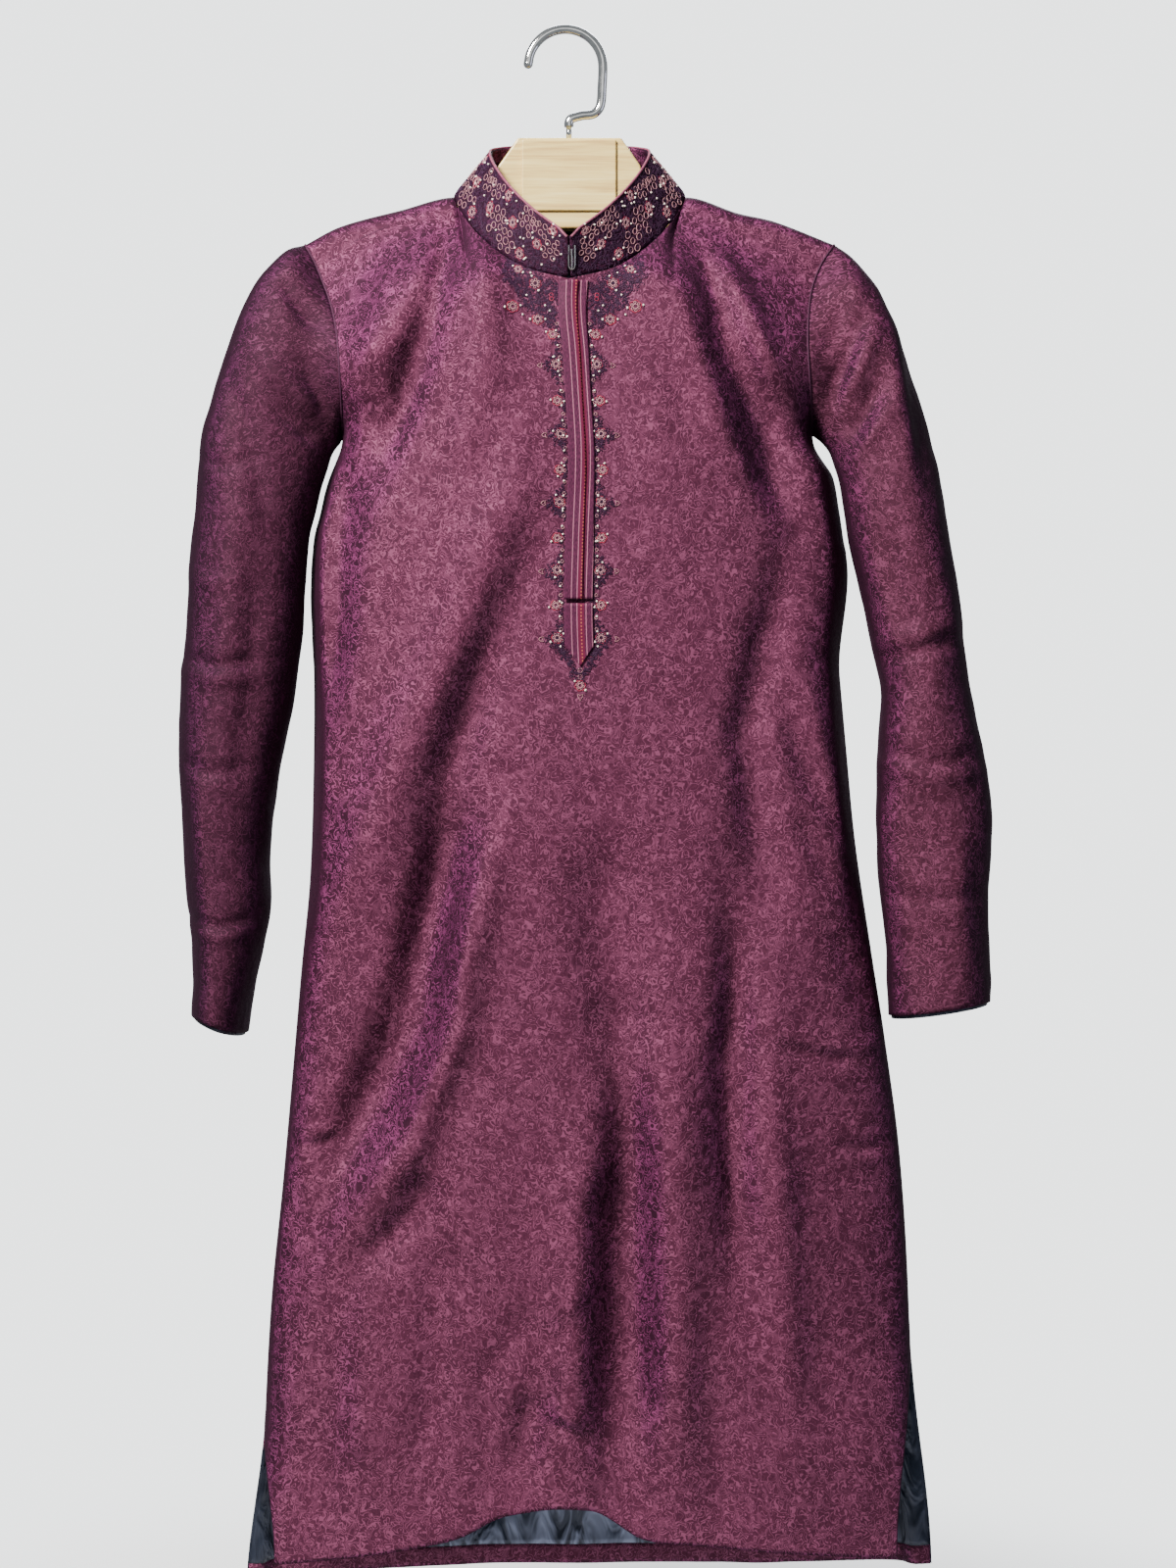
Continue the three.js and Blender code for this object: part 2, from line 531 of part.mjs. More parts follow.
// A piece lying inside the back panel between two rows, short of the edges by one column.
function insideBack(firstRow, lastRow) {
  const inward = gridNormals(backInner, false).map((line) => line.map((n) => n.negate()));
  const columns = backInner[0].length - 2;
  const rows = [firstRow];
  for (let r = Math.floor(firstRow) + 1; r < lastRow; r += 1) rows.push(r);
  rows.push(lastRow);
  const line = (row, lift) => Array.from({ length: columns }, (_, c) => onGrid(
    backInner, inward, row, c + 1, lift));
  const outer = rows.map((row) => line(row, BACK_INSIDE.lift));
  const inner = rows.map((row) => line(row, BACK_INSIDE.lift + THIN));
  return clothWall(outer, inner, false);
}

// ---------------------------------------------------------------------------- collar fastener
// A flat wire bent through points given as [x, down], standing off the collar's front.
function fastenerWire(points, standOff) {
  const y = CLASP.collarY - standOff;
  const path = new THREE.CatmullRomCurve3(points.map(
    ([x, down]) => point(x, y + (down - CLASP.top) * CLASP.lean, down)));
  return sweep(path, CLASP.wire, CLASP.sides, 3 * points.length);
}

// The eye is a narrow loop, and the hook a hairpin whose bent end passes over it.
function collarEye() {
  const { x, top, bottom, eyeHalf } = CLASP;
  return fastenerWire([[x - eyeHalf, top], [x - eyeHalf, bottom - 2], [x - eyeHalf + 1, bottom],
    [x + eyeHalf - 1, bottom], [x + eyeHalf, bottom - 2], [x + eyeHalf, top]], CLASP.wire + SEAM_GAP);
}

function collarHook() {
  const { x, top, bottom, wire } = CLASP;
  const hairpin = [[x - 0.4, top + 3], [x, (top + bottom) / 2], [x, bottom + 0.6]];
  return fastenerWire(hairpin, 3 * wire + 2 * SEAM_GAP);
}

// ---------------------------------------------------------------------------- hanger
function sweep(path, radius, sides, steps) {
  const section = new THREE.Shape().absarc(0, 0, radius, 0, 2 * Math.PI);
  return new THREE.ExtrudeGeometry(section, { extrudePath: path, steps, curveSegments: sides });
}

// The hook: most of a circle, a straight leg, and a crook back to the middle.
function hookRod() {
  const topDown = -HOOK.rod;
  const points = [];
  for (let degrees = 176; degrees >= 0; degrees -= 16) {
    const angle = THREE.MathUtils.degToRad(degrees);
    points.push(point(HOOK.centreX + HOOK.bend * Math.cos(angle), 0,
      topDown + HOOK.bend * (1 - Math.sin(angle))));
  }
  const legX = HOOK.centreX + HOOK.bend;
  points.push(point(legX - 0.5, 0, 40), point(legX - 2, 0, HOOK.legDown));
  points.push(point(legX - 7, 0, HOOK.legDown + 6), point(10, 0, HOOK.legDown + 7.5));
  points.push(point(2, 0, HOOK.legDown + 10), point(HOOK.stemX, 0, HOOK.legDown + 13));
  points.push(point(HOOK.stemX, 0, HOOK.legDown + 16));
  return sweep(new THREE.CatmullRomCurve3(points), HOOK.rod, HOOK.sides, 30);
}

function hookStem() {
  const top = HOOK.legDown + 16 + SEAM_GAP;
  const bottom = FACE.top - 2 - SEAM_GAP;
  const stem = new THREE.CylinderGeometry(HOOK.stem, HOOK.stem, bottom - top, 2 * HOOK.sides);
  stem.rotateX(Math.PI / 2);
  stem.translate(HOOK.stemX, 0, -(top + bottom) / 2);
  return stem;
}

function extrudedAlongY(outline, back, front, bevel) {
  const shape = new THREE.Shape(outline.map(([x, down]) => new THREE.Vector2(x, -down)));
  const depth = back - front - 2 * bevel;
  const options = { depth, bevelEnabled: true, bevelThickness: bevel, bevelSize: bevel, bevelOffset: -bevel };
  const geometry = new THREE.ExtrudeGeometry(shape, { ...options, bevelSegments: 1, curveSegments: 4 });
  geometry.rotateX(Math.PI / 2);
  geometry.translate(0, back - bevel, 0);
  return geometry;
}

function hangerBlock() {
  const outline = [[-39, 82], [41, 82], [56, 104], [59, 131], [24, 152], [-24, 152], [-59, 131], [-58, 109]];
  return extrudedAlongY(outline, BLOCK.back, BLOCK.front, BLOCK.bevel);
}

function hangerFace() {
  const { left, right, top, bottom } = FACE;
  const outline = [[left, top], [right, top], [right, bottom], [left, bottom]];
  const back = BLOCK.front - SEAM_GAP;
  return extrudedAlongY(outline, back, back - FACE.thick, FACE.bevel);
}

// An arm, from the block out under the shoulder ridge: an upright oval section on every station.
function hangerArm(side) {
  const sign = side === 'left' ? -1 : 1;
  const shoulder = side === 'left' ? frontOuter[0].slice(0, SHOULDER_STEPS.length)
    : frontOuter[0].slice(-SHOULDER_STEPS.length).reverse();
  const end = shoulder[0].clone().lerp(shoulder[1], 0.6);
  const neck = shoulder[shoulder.length - 1];
  const root = point(sign * ARM.rootX, 0, ARM.rootDown);
  const stations = [end, ...shoulder.slice(1), neck.clone().lerp(root, 0.5), root];
  const rings = stations.map((top, i) => {
    const tall = ARM.halfTall * mix(ARM.endTaper, 1, i / (stations.length - 1));
    const centre = top.clone().addScaledVector(DOWNWARD, ARM.underRidge + tall);
    return Array.from({ length: ARM.sides }, (_, k) => {
      const turn = (2 * Math.PI * k) / ARM.sides;
      return new THREE.Vector3(centre.x, -ARM.halfThick * Math.sin(turn), centre.z + tall * Math.cos(turn));
    });
  });
  return solidFromRings(side === 'left' ? rings.reverse() : rings);
}

// A solid through rings of points, closed by a flat fan at each end.
function solidFromRings(rings) {
  const count = rings[0].length;
  const faces = [];
  const at = (r, i) => r * count + (i % count);
  for (let r = 0; r < rings.length - 1; r += 1) {
    for (let i = 0; i < count; i += 1) {
      faces.push(at(r, i), at(r + 1, i), at(r + 1, i + 1), at(r, i), at(r + 1, i + 1), at(r, i + 1));
    }
  }
  for (let i = 1; i < count - 1; i += 1) {
    faces.push(at(0, 0), at(0, i), at(0, i + 1));
    faces.push(at(rings.length - 1, 0), at(rings.length - 1, i + 1), at(rings.length - 1, i));
  }
  const geometry = new THREE.BufferGeometry().setFromPoints(rings.flat());
  geometry.setIndex(faces);
  return geometry;
}

// ---------------------------------------------------------------------------- the object
const MATERIALS = {
  jacquard: { color: 0x6b3a55, roughness: 0.55, metalness: 0 },
  ribbon: { color: 0x8a2f52, roughness: 0.5, metalness: 0 },
  lining: { color: 0x2a2d33, roughness: 0.35, metalness: 0 },
  wood: { color: 0xe3d5a8, roughness: 0.6, metalness: 0 },
  chrome: { color: 0xc9ccd0, roughness: 0.12, metalness: 1 },
  nickel: { color: 0xb2b0ab, roughness: 0.3, metalness: 1 },
};

const kurta = new THREE.Group();
function add(name, material, geometry) {
  const mesh = new THREE.Mesh(geometry, new THREE.MeshStandardMaterial(MATERIALS[material]));
  mesh.name = name;
  kurta.add(mesh);
}

add('front', 'jacquard', clothWall(frontOuter, frontInner, false));
add('back', 'jacquard', clothWall(backOuter, backInner, false));
for (const [side, table] of [['left', LEFT_SLEEVE], ['right', RIGHT_SLEEVE]]) {
  const rings = sleeveRings(table, side);
  const inward = sleeveInward(rings);
  add(`sleeve_${side}`, 'jacquard', clothWall(rings, moved(rings, inward, CLOTH), true));
  add(`cuff_lining_${side}`, 'lining', cuffLining(rings, inward));
  add(`hanger_arm_${side}`, 'wood', hangerArm(side));
}
add('collar', 'jacquard', collarWall());
add('collar_eye', 'nickel', collarEye());
add('collar_hook', 'nickel', collarHook());
for (const [name, geometry] of placketPieces()) add(name, 'ribbon', geometry);
add('back_lining', 'lining', insideBack(BACK_INSIDE.liningTop, BACK_INSIDE.facingTop));
add('back_hem_facing', 'jacquard', insideBack(BACK_INSIDE.facingTop + 0.02, frontOuter.length - 1.05));
add('hanger_block', 'wood', hangerBlock());
add('hanger_face', 'wood', hangerFace());
add('hanger_hook', 'chrome', hookRod());
add('hanger_stem', 'chrome', hookStem());

export default kurta;
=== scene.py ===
# A long-sleeved kurta of plum jacquard on a wooden coat hanger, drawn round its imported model.
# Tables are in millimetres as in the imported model: x to the right seen from the front, "down" below
# the inside top of the hanger's hook, and y negative towards the front. Meshes are in metres.
import math
from functools import partial

import bmesh
import bpy
import numpy as np
from mathutils import Matrix, Vector, noise
from mathutils.bvhtree import BVHTree


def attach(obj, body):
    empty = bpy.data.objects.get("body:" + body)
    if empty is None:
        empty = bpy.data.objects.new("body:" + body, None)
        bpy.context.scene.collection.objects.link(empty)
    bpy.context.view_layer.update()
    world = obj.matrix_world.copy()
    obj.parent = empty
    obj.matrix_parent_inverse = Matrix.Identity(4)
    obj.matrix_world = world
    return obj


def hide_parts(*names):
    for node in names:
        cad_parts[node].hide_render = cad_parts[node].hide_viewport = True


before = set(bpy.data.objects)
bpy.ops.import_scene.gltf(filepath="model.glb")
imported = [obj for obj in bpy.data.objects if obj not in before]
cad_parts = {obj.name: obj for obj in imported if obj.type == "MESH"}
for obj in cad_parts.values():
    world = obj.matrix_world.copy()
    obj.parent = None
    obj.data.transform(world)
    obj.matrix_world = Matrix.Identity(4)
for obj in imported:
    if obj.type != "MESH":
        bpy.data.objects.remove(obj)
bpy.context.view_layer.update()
MM = 0.001

# ---------------------------------------- the garment's driving sizes
CLOTH = 2.0             # walls of the panels and sleeves, of braid and linings, and of the collar
THIN = 1.0
COLLAR_WALL = 2.4
SEAM_GAP = 0.3          # between pieces that are sewn together, and a little more at the armholes
ARMHOLE_GAP = 0.4
RIDGE_RADIUS = 12       # the cloth's bend over the hanger's arms
EDGE_POWER = 2.4        # how square a section through the body is
ARMHOLE_SQUEEZE = 0.76  # the share of that section which the armhole leaves, and over what height
ARMHOLE_BLEND = 70
NECK_X = 1              # the collar's middle
ARMHOLE_STEPS = 48      # rows of a panel's grid beside the armhole, and below it
LOWER_ROWS = 240
ARMPIT = {"left": 315, "right": 312}
# Below the side slits' tops the panels part, and their hems' corners flare out or in.
SLIT_TOP = {"left": 1069, "right": 996}
SLIT_SPREAD = {"front": 16, "back": 12, "over": 110}
FLARE = {"front": (15, -17), "back": (-11, 15)}
# How a panel is let out towards the sleeves below the armholes, and turned back at its sides. Both
# start over a height and fade over another, and reach across a share of the panel's width.
LET_OUT = {"from": 318, "over": 26, "to": 500, "fade": 90, "clear": 1.2, "most": 14, "share": 0.15}
TURN_BACK = {"hips": 740, "fade": 200, "most": 19, "share": 0.06}

RIDGE = {"x": [-204, -177, -129, -89, 91, 103, 130, 160, 206],
         "down": [164, 150, 137, 127, 127, 129, 139, 146, 164]}
LEFT_EDGE = {"down": [164, 183, 221, 263, 315, 385, 445, 539, 653, 724, 886, 977, 1066, 1206],
             "x": [-204, -194, -180, -174, -175, -190, -198, -199, -201, -207, -221, -230, -235,
                   -240]}
RIGHT_EDGE = {"down": [164, 183, 208, 254, 312, 385, 442, 552, 631, 718, 776, 869, 984, 1190],
              "x": [206, 194, 186, 183, 189, 201, 207, 217, 224, 236, 245, 257, 264, 268]}
HEM = {"front": {"x": [-222, -155, -85, -45, 17, 55, 94, 162, 249],
                 "down": [1176, 1166, 1152, 1134, 1130, 1151, 1156, 1163, 1171]},
       "back": {"x": [-251, -90, 60, 180, 283], "down": [1204, 1199, 1197, 1195, 1189]}}
BODY_DEPTH = {"down": [120, 200, 320, 450, 620, 800, 1000, 1200],
              "front": [62, 68, 70, 67, 62, 60, 62, 66],
              "back": [26, 32, 38, 38, 36, 38, 42, 46]}
COLLAR = {"angle": [0, 30, 60, 90, 120, 150, 180],
          "half": [0, 41, 74, 90, 70, 38, 0], "y": [26, 23, 14, 0, -36, -59, -68],
          "down": [114, 115, 118, 127, 162, 190, 202],
          "topHalf": [0, 31, 54, 62, 50, 28, 0], "topY": [30, 27, 13, -8, -38, -62, -77],
          "topDown": [81, 82, 86, 95, 121, 148, 171]}

# Sleeve sections: outer and inner edge seen from the front, half depth, and distance forward.
SLEEVE = {
    "left": {
        "outX": [-220, -239, -253, -264, -274, -283, -287, -293, -295, -300, -301, -298, -294, -290,
                 -290],
        "outDown": [171, 190, 216, 245, 278, 312, 355, 407, 461, 506, 559, 613, 662, 704, 758],
        "inX": [-180, -184, -187, -191, -195, -200, -203, -205, -211, -220, -226, -230, -230, -236,
                -247],
        "inDown": [321, 328, 339, 354, 371, 392, 425, 464, 510, 556, 594, 632, 677, 711, 773],
        "half": [29, 32, 35, 37, 39, 41, 43, 45, 46, 47, 47, 48, 48, 49, 49],
        "forward": [6, 6, 6, 6, 6, 6, 6, 6, 7, 8, 9, 10, 11, 12, 13]},
    "right": {
        "outX": [222, 237, 250, 262, 274, 282, 291, 299, 306, 314, 323, 327, 325, 325, 325],
        "outDown": [177, 195, 226, 255, 289, 324, 369, 423, 476, 524, 571, 609, 662, 708, 749],
        "inX": [196, 202, 206, 210, 213, 217, 223, 232, 241, 240, 239, 239, 241, 245, 247],
        "inDown": [318, 325, 335, 348, 366, 394, 423, 464, 508, 546, 582, 620, 664, 713, 760],
        "half": [29, 32, 35, 37, 39, 41, 43, 44, 44, 43, 42, 40, 39, 38, 38],
        "forward": [6, 6, 6, 6, 6, 6, 6, 6, 7, 8, 9, 10, 11, 12, 13]}}

# Folds as (height, width, path): a ridge stands out, a trough goes in. The first ones are the
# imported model's own; the small ones after them are too fine for it.
FRONT_FOLDS = [
    (9, 12, [(-102, 151), (-111, 205), (-136, 276), (-158, 358)]),
    (-9, 12, [(-92, 160), (-97, 213), (-111, 270), (-146, 353)]),
    (-9, 12, [(95, 159), (111, 201), (129, 239), (156, 298), (164, 364)]),
    (8, 12, [(110, 165), (127, 205), (146, 250), (170, 310)]),
    (-14, 18, [(-53, 582), (-86, 629), (-104, 700), (-112, 761), (-150, 836), (-197, 923)]),
    (11, 16, [(-48, 600), (-71, 685), (-86, 770), (-118, 855), (-182, 946)]),
    (-8, 15, [(-104, 874), (-114, 906), (-165, 959)]),
    (-10, 16, [(8, 977), (-25, 997), (-53, 1030), (-60, 1132)]),
    (-15, 22, [(23, 863), (28, 951), (34, 1143)]),
    (-8, 15, [(133, 600), (133, 742), (120, 790), (120, 846), (134, 951)])]
FRONT_CREASES = [
    (-12, 13, [(-91, 154), (-109, 211), (-125, 260), (-144, 313), (-162, 384)]),
    (6, 15, [(-125, 165), (-141, 223), (-155, 280)]),
    (-11, 12, [(-172, 300), (-170, 370), (-174, 450), (-186, 534)]),
    (8, 18, [(-61, 188), (-63, 269), (-82, 349)]),
    (11, 24, [(-33, 257), (-42, 361), (-82, 465), (-125, 557), (-164, 649), (-190, 729)]),
    (-12, 18, [(-29, 407), (-61, 488), (-86, 568), (-102, 649), (-125, 741), (-167, 839),
               (-206, 914)]),
    (-12, 28, [(27, 600), (33, 700), (42, 810)]),
    (-19, 19, [(40, 760), (48, 880), (52, 960), (56, 1120)]),
    (12, 19, [(20, 830), (13, 900), (9, 980), (6, 1120)]),
    (10, 22, [(75, 752), (80, 914), (87, 1109)]),
    (9, 13, [(11, 962), (-22, 994), (-47, 1029), (-56, 1098)]),
    (-8, 13, [(-22, 1035), (-31, 1075), (-38, 1115)]),
    (-11, 13, [(94, 177), (119, 251), (149, 326), (170, 390)]),
    (6, 14, [(77, 200), (100, 269), (126, 338)]),
    (-10, 16, [(170, 390), (149, 476), (135, 545), (149, 637), (158, 729)]),
    (7, 14, [(179, 488), (202, 591), (225, 683)]),
    (-6, 12, [(158, 499), (183, 568), (213, 637), (232, 706)]),
    (-9, 16, [(119, 637), (130, 799), (128, 983)]),
    (6, 16, [(155, 799), (163, 937), (172, 1086)]),
    (6, 20, [(-139, 914), (-151, 1006), (-155, 1109)]),
    (-6, 16, [(-100, 914), (-98, 1006), (-107, 1109)]),
    (2.2, 5, [(154, 768), (190, 780), (224, 784), (240, 783)]),
    (-2.4, 5, [(150, 776), (190, 790), (226, 793)]),
    (-1.8, 4, [(208, 735), (222, 741), (234, 748)]),
    (1.6, 4, [(205, 865), (225, 869), (246, 867)]),
    (-2.0, 5, [(196, 858), (222, 861), (250, 859)]),
    (2.6, 9, [(180, 590), (196, 612), (214, 645)]),
    (-2.4, 8, [(170, 600), (186, 628), (204, 664)]),
    (2.0, 5, [(-210, 852), (-196, 850), (-176, 843)]),
    (-1.8, 5, [(-208, 860), (-192, 858), (-172, 850)]),
    (-1.6, 4, [(-200, 648), (-186, 644), (-170, 640)]),
    (1.4, 4, [(-203, 690), (-188, 686), (-168, 688)]),
    (3.4, 7, [(-14, 1056), (0, 1057), (12, 1066)]),
    (-3.0, 6, [(-18, 1064), (2, 1070), (18, 1080)]),
    (3.0, 20, [(152, 620), (150, 760), (146, 860), (158, 960)]),
    (-2.2, 9, [(40, 238), (66, 262), (96, 300)]),
    (-1.6, 7, [(120, 300), (140, 330), (160, 372)]),
    (-2.6, 8, [(148, 262), (166, 300), (176, 334)]),
    (2.0, 7, [(-168, 300), (-150, 320), (-140, 352)]),
    (-2.2, 8, [(-172, 330), (-162, 352), (-158, 384)]),
    (3.2, 16, [(54, 900), (64, 1010), (76, 1150)]),
    (-3.0, 16, [(98, 960), (108, 1060), (122, 1160)]),
    (2.4, 16, [(-120, 980), (-132, 1070), (-140, 1165)]),
    (-2.6, 18, [(-176, 1000), (-182, 1080), (-186, 1165)]),
    (-2.0, 9, [(200, 690), (214, 716), (230, 726)]),
    (1.8, 8, [(-198, 560), (-180, 590), (-160, 610)])]
BACK_FOLDS = [
    (-8, 18, [(-120, 170), (-112, 300), (-96, 430)]),
    (-7, 18, [(128, 168), (118, 290), (104, 400)]),
    (-12, 22, [(-70, 560), (-92, 760), (-120, 980)]),
    (7, 20, [(-40, 640), (-52, 860), (-64, 1200)]),
    (-11, 24, [(20, 760), (14, 960), (8, 1200)]),
    (-12, 22, [(96, 600), (124, 820), (150, 1190)])]
BACK_CREASES = [
    (2.4, 8, [(-196, 640), (-166, 650), (-130, 640)]),
    (-2.2, 7, [(-194, 652), (-164, 664), (-134, 656)]),
    (-2.4, 8, [(212, 700), (180, 716), (150, 708)]),
    (2.0, 8, [(210, 712), (178, 730), (152, 724)]),
    (3.0, 26, [(-20, 180), (-26, 330), (-18, 470)]),
    (-2.6, 22, [(46, 190), (52, 330), (40, 460)]),
    (2.2, 9, [(-150, 300), (-168, 350), (-182, 390)]),
    (-2.4, 9, [(160, 290), (178, 340), (190, 380)]),
    (2.6, 18, [(70, 820), (84, 980), (96, 1150)]),
    (-2.8, 18, [(-170, 960), (-182, 1060), (-196, 1170)])]
LEFT_SLEEVE_FOLDS = [
    (-5, 8, [(-224, 188), (-208, 212), (-188, 240)]),
    (4, 9, [(-236, 256), (-214, 276), (-190, 302)]),
    (-3.4, 7, [(-226, 292), (-208, 306), (-192, 322)]),
    (-3.2, 8, [(-262, 262), (-240, 330), (-226, 396)]),
    (2.6, 12, [(-252, 350), (-256, 450), (-262, 520)]),
    (-2.6, 5, [(-296, 484), (-268, 492), (-226, 488)]),
    (2.2, 6, [(-298, 494), (-270, 503), (-228, 500)]),
    (-2.4, 5, [(-298, 562), (-272, 574), (-238, 570)]),
    (-2.6, 4, [(-294, 682), (-264, 690), (-236, 682)]),
    (1.8, 5, [(-294, 690), (-264, 699), (-238, 692)]),
    (-3.0, 9, [(-236, 400), (-240, 500), (-252, 600)]),
    (2.2, 9, [(-282, 560), (-276, 640), (-272, 720)]),
    (-1.8, 5, [(-288, 330), (-262, 340), (-236, 332)]),
    (1.6, 6, [(-292, 420), (-270, 430), (-240, 424)])]
RIGHT_SLEEVE_FOLDS = [
    (-4, 7, [(200, 286), (214, 250), (228, 214)]),
    (3.4, 7, [(208, 296), (224, 262), (238, 226)]),
    (-3.6, 7, [(196, 254), (206, 232), (214, 208)]),
    (-6, 9, [(212, 324), (226, 298), (240, 270)]),
    (3.4, 8, [(222, 330), (238, 306), (252, 284)]),
    (4, 10, [(242, 204), (250, 250), (254, 300), (262, 372)]),
    (-3.4, 10, [(258, 220), (268, 290), (276, 350)]),
    (-3.6, 9, [(238, 380), (250, 430), (262, 480)]),
    (2.6, 8, [(232, 476), (262, 470), (300, 458)]),
    (-2.8, 7, [(234, 486), (262, 482), (302, 470)]),
    (-2.6, 6, [(240, 556), (276, 566), (318, 560)]),
    (2.2, 6, [(240, 566), (276, 578), (320, 572)]),
    (-2.2, 9, [(262, 600), (268, 670), (272, 740)]),
    (2.4, 10, [(296, 600), (298, 670), (300, 740)]),
    (-1.8, 5, [(240, 664), (276, 672), (322, 664)]),
    (1.6, 7, [(270, 400), (290, 440), (300, 500)])]


# ---------------------------------------- curves and folds
def smooth(value):
    """0 below 0 and 1 above 1, with a soft rise between."""
    t = np.clip(value, 0, 1)
    return t * t * (3 - 2 * t)


def mix(a, b, t):
    return a + (b - a) * t


def curve(keys, values, at):
    """A smooth curve through values at rising keys, for one value or many."""
    keys = np.asarray(keys, float)
    values = np.asarray(values, float)
    low = np.maximum(np.arange(len(keys)) - 1, 0)
    high = np.minimum(np.arange(len(keys)) + 1, len(keys) - 1)
    runs = (keys[high] - keys[low]).reshape((-1,) + (1,) * (values.ndim - 1))
    slopes = (values[high] - values[low]) / runs
    k = np.clip(np.asarray(at, float), keys[0], keys[-1])
    i = np.clip(np.searchsorted(keys, k, side="right") - 1, 0, len(keys) - 2)
    span = keys[i + 1] - keys[i]
    t = (k - keys[i]) / span
    if values.ndim > 1:
        span, t = span[..., None], t[..., None]
    leave = t * (1 - t) ** 2 * span * slopes[i]
    arrive = t * t * (t - 1) * span * slopes[i + 1]
    return mix(values[i], values[i + 1], t * t * (3 - 2 * t)) + leave + arrive


def table_curve(table, column, key, at):
    """A table's column as a smooth curve over its key column."""
    return curve(table[key], table[column], at)


def unit(vectors):
    """Vectors brought to a length of 1."""
    return vectors / np.maximum(np.linalg.norm(vectors, axis=-1, keepdims=True), 1e-9)


def from_ends(count):
    """How many steps each point of a row lies from the row's nearer end."""
    return np.minimum(np.arange(count), count - 1 - np.arange(count))


def summed(steps, axis=0):
    """Running totals of some steps along an axis, from 0."""
    totals = np.cumsum(steps, axis=axis)
    return np.concatenate([np.zeros_like(totals.take([0], axis=axis)), totals], axis=axis)


def lengths(points, axis=0):
    """Distance along each line of points, from its first one to each of them."""
    return summed(np.linalg.norm(np.diff(points, axis=axis), axis=-1), axis)


def along_path(points, count):
    """Points spaced evenly along a smooth curve through a few."""
    keys = lengths(np.array(points, float))
    return curve(keys, points, np.linspace(0, keys[-1], count))


def turned_over(folds):
    """Folds mirrored from one side of the kurta to the other."""
    return [(height, width, [(-x, down) for x, down in path]) for height, width, path in folds]


def fold_height(folds, x, down):
    """Height of all folds at many places: a soft bump across each path, fading at both ends."""
    total = np.zeros(np.broadcast(x, down).shape)
    for height, width, path in folds:
        best = np.full(total.shape, 1e9)
        along = np.zeros(total.shape)
        for i, ((x0, d0), (x1, d1)) in enumerate(zip(path, path[1:])):
            dx, dd = x1 - x0, d1 - d0
            t = np.clip(((x - x0) * dx + (down - d0) * dd) / (dx * dx + dd * dd), 0, 1)
            distance = np.hypot(x - x0 - t * dx, down - d0 - t * dd)
            nearer = distance < best
            best = np.where(nearer, distance, best)
            along = np.where(nearer, (i + t) / (len(path) - 1), along)
        ends = smooth(along / 0.3) * smooth((1 - along) / 0.25)
        total += height * (0.25 + 0.75 * ends) * np.exp(-((best / width) ** 2))
    return total


# ---------------------------------------- the body's form
def ridge_down(x):
    """How far down the shoulder line lies, where the cloth hangs over the hanger."""
    return table_curve(RIDGE, "down", "x", x)


def edge_x(side, down):
    """Where a panel's side edge lies."""
    return table_curve(LEFT_EDGE if side == "left" else RIGHT_EDGE, "x", "down", down)


def stand_off(x, down, panel, creases=0.0):
    """How far a panel stands from the hanger's plane, seen from the front, with its folds."""
    left, right = edge_x("left", down), edge_x("right", down)
    across = np.clip((2 * x - left - right) / (right - left), -1, 1)
    armpit = np.where(across < 0, ARMPIT["left"], ARMPIT["right"])
    squeeze = mix(1, ARMHOLE_SQUEEZE, smooth((armpit - down) / ARMHOLE_BLEND))
    section = np.maximum(1 - np.abs(across * squeeze) ** EDGE_POWER, 0) ** (1 / EDGE_POWER)
    below = np.maximum(down - ridge_down(x), 0)
    roll = RIDGE_RADIUS * np.sqrt(1 - (1 - np.minimum(below / RIDGE_RADIUS, 1)) ** 2)
    reach = 75 + 90 * (x / 200) ** 2
    swell = (table_curve(BODY_DEPTH, panel, "down", down) - RIDGE_RADIUS) * smooth(below / reach)
    slit_top = np.where(across < 0, SLIT_TOP["left"], SLIT_TOP["right"])
    spread = SLIT_SPREAD[panel] * smooth((down - slit_top) / SLIT_SPREAD["over"]) * across ** 4
    folds = FRONT_FOLDS if panel == "front" else BACK_FOLDS
    small = FRONT_CREASES if panel == "front" else BACK_CREASES
    fade = smooth((1 - np.abs(across)) / 0.25) * smooth(below / 60)
    height = fade * fold_height(folds, x, down)
    if creases:
        held = smooth((1 - np.abs(across)) / 0.06)
        height = height + creases * held * fold_height(small, x, down)
    return (roll + swell) * section + spread + height


def panel_y(x, down, panel, creases=0.0):
    """The depth of a panel's outside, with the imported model's folds and a share of the creases."""
    return (-1 if panel == "front" else 1) * stand_off(x, down, panel, creases)


def collar_point(angle, height):
    """Points of the collar from its seam (height 0) to its edge (height 1), 180 at the front."""
    angle = np.asarray(angle, float)
    turn = np.abs(np.where(angle > 180, angle - 360, angle))
    side = np.where((angle < 0) | (angle > 180), 1, -1)
    part = {name: table_curve(COLLAR, name, "angle", turn) for name in COLLAR if name != "angle"}
    x = NECK_X + side * mix(part["half"], part["topHalf"], height)
    y = mix(part["y"], part["topY"], height)
    down = mix(part["down"], part["topDown"], height)
    return np.stack(np.broadcast_arrays(x, y, -down), axis=-1)


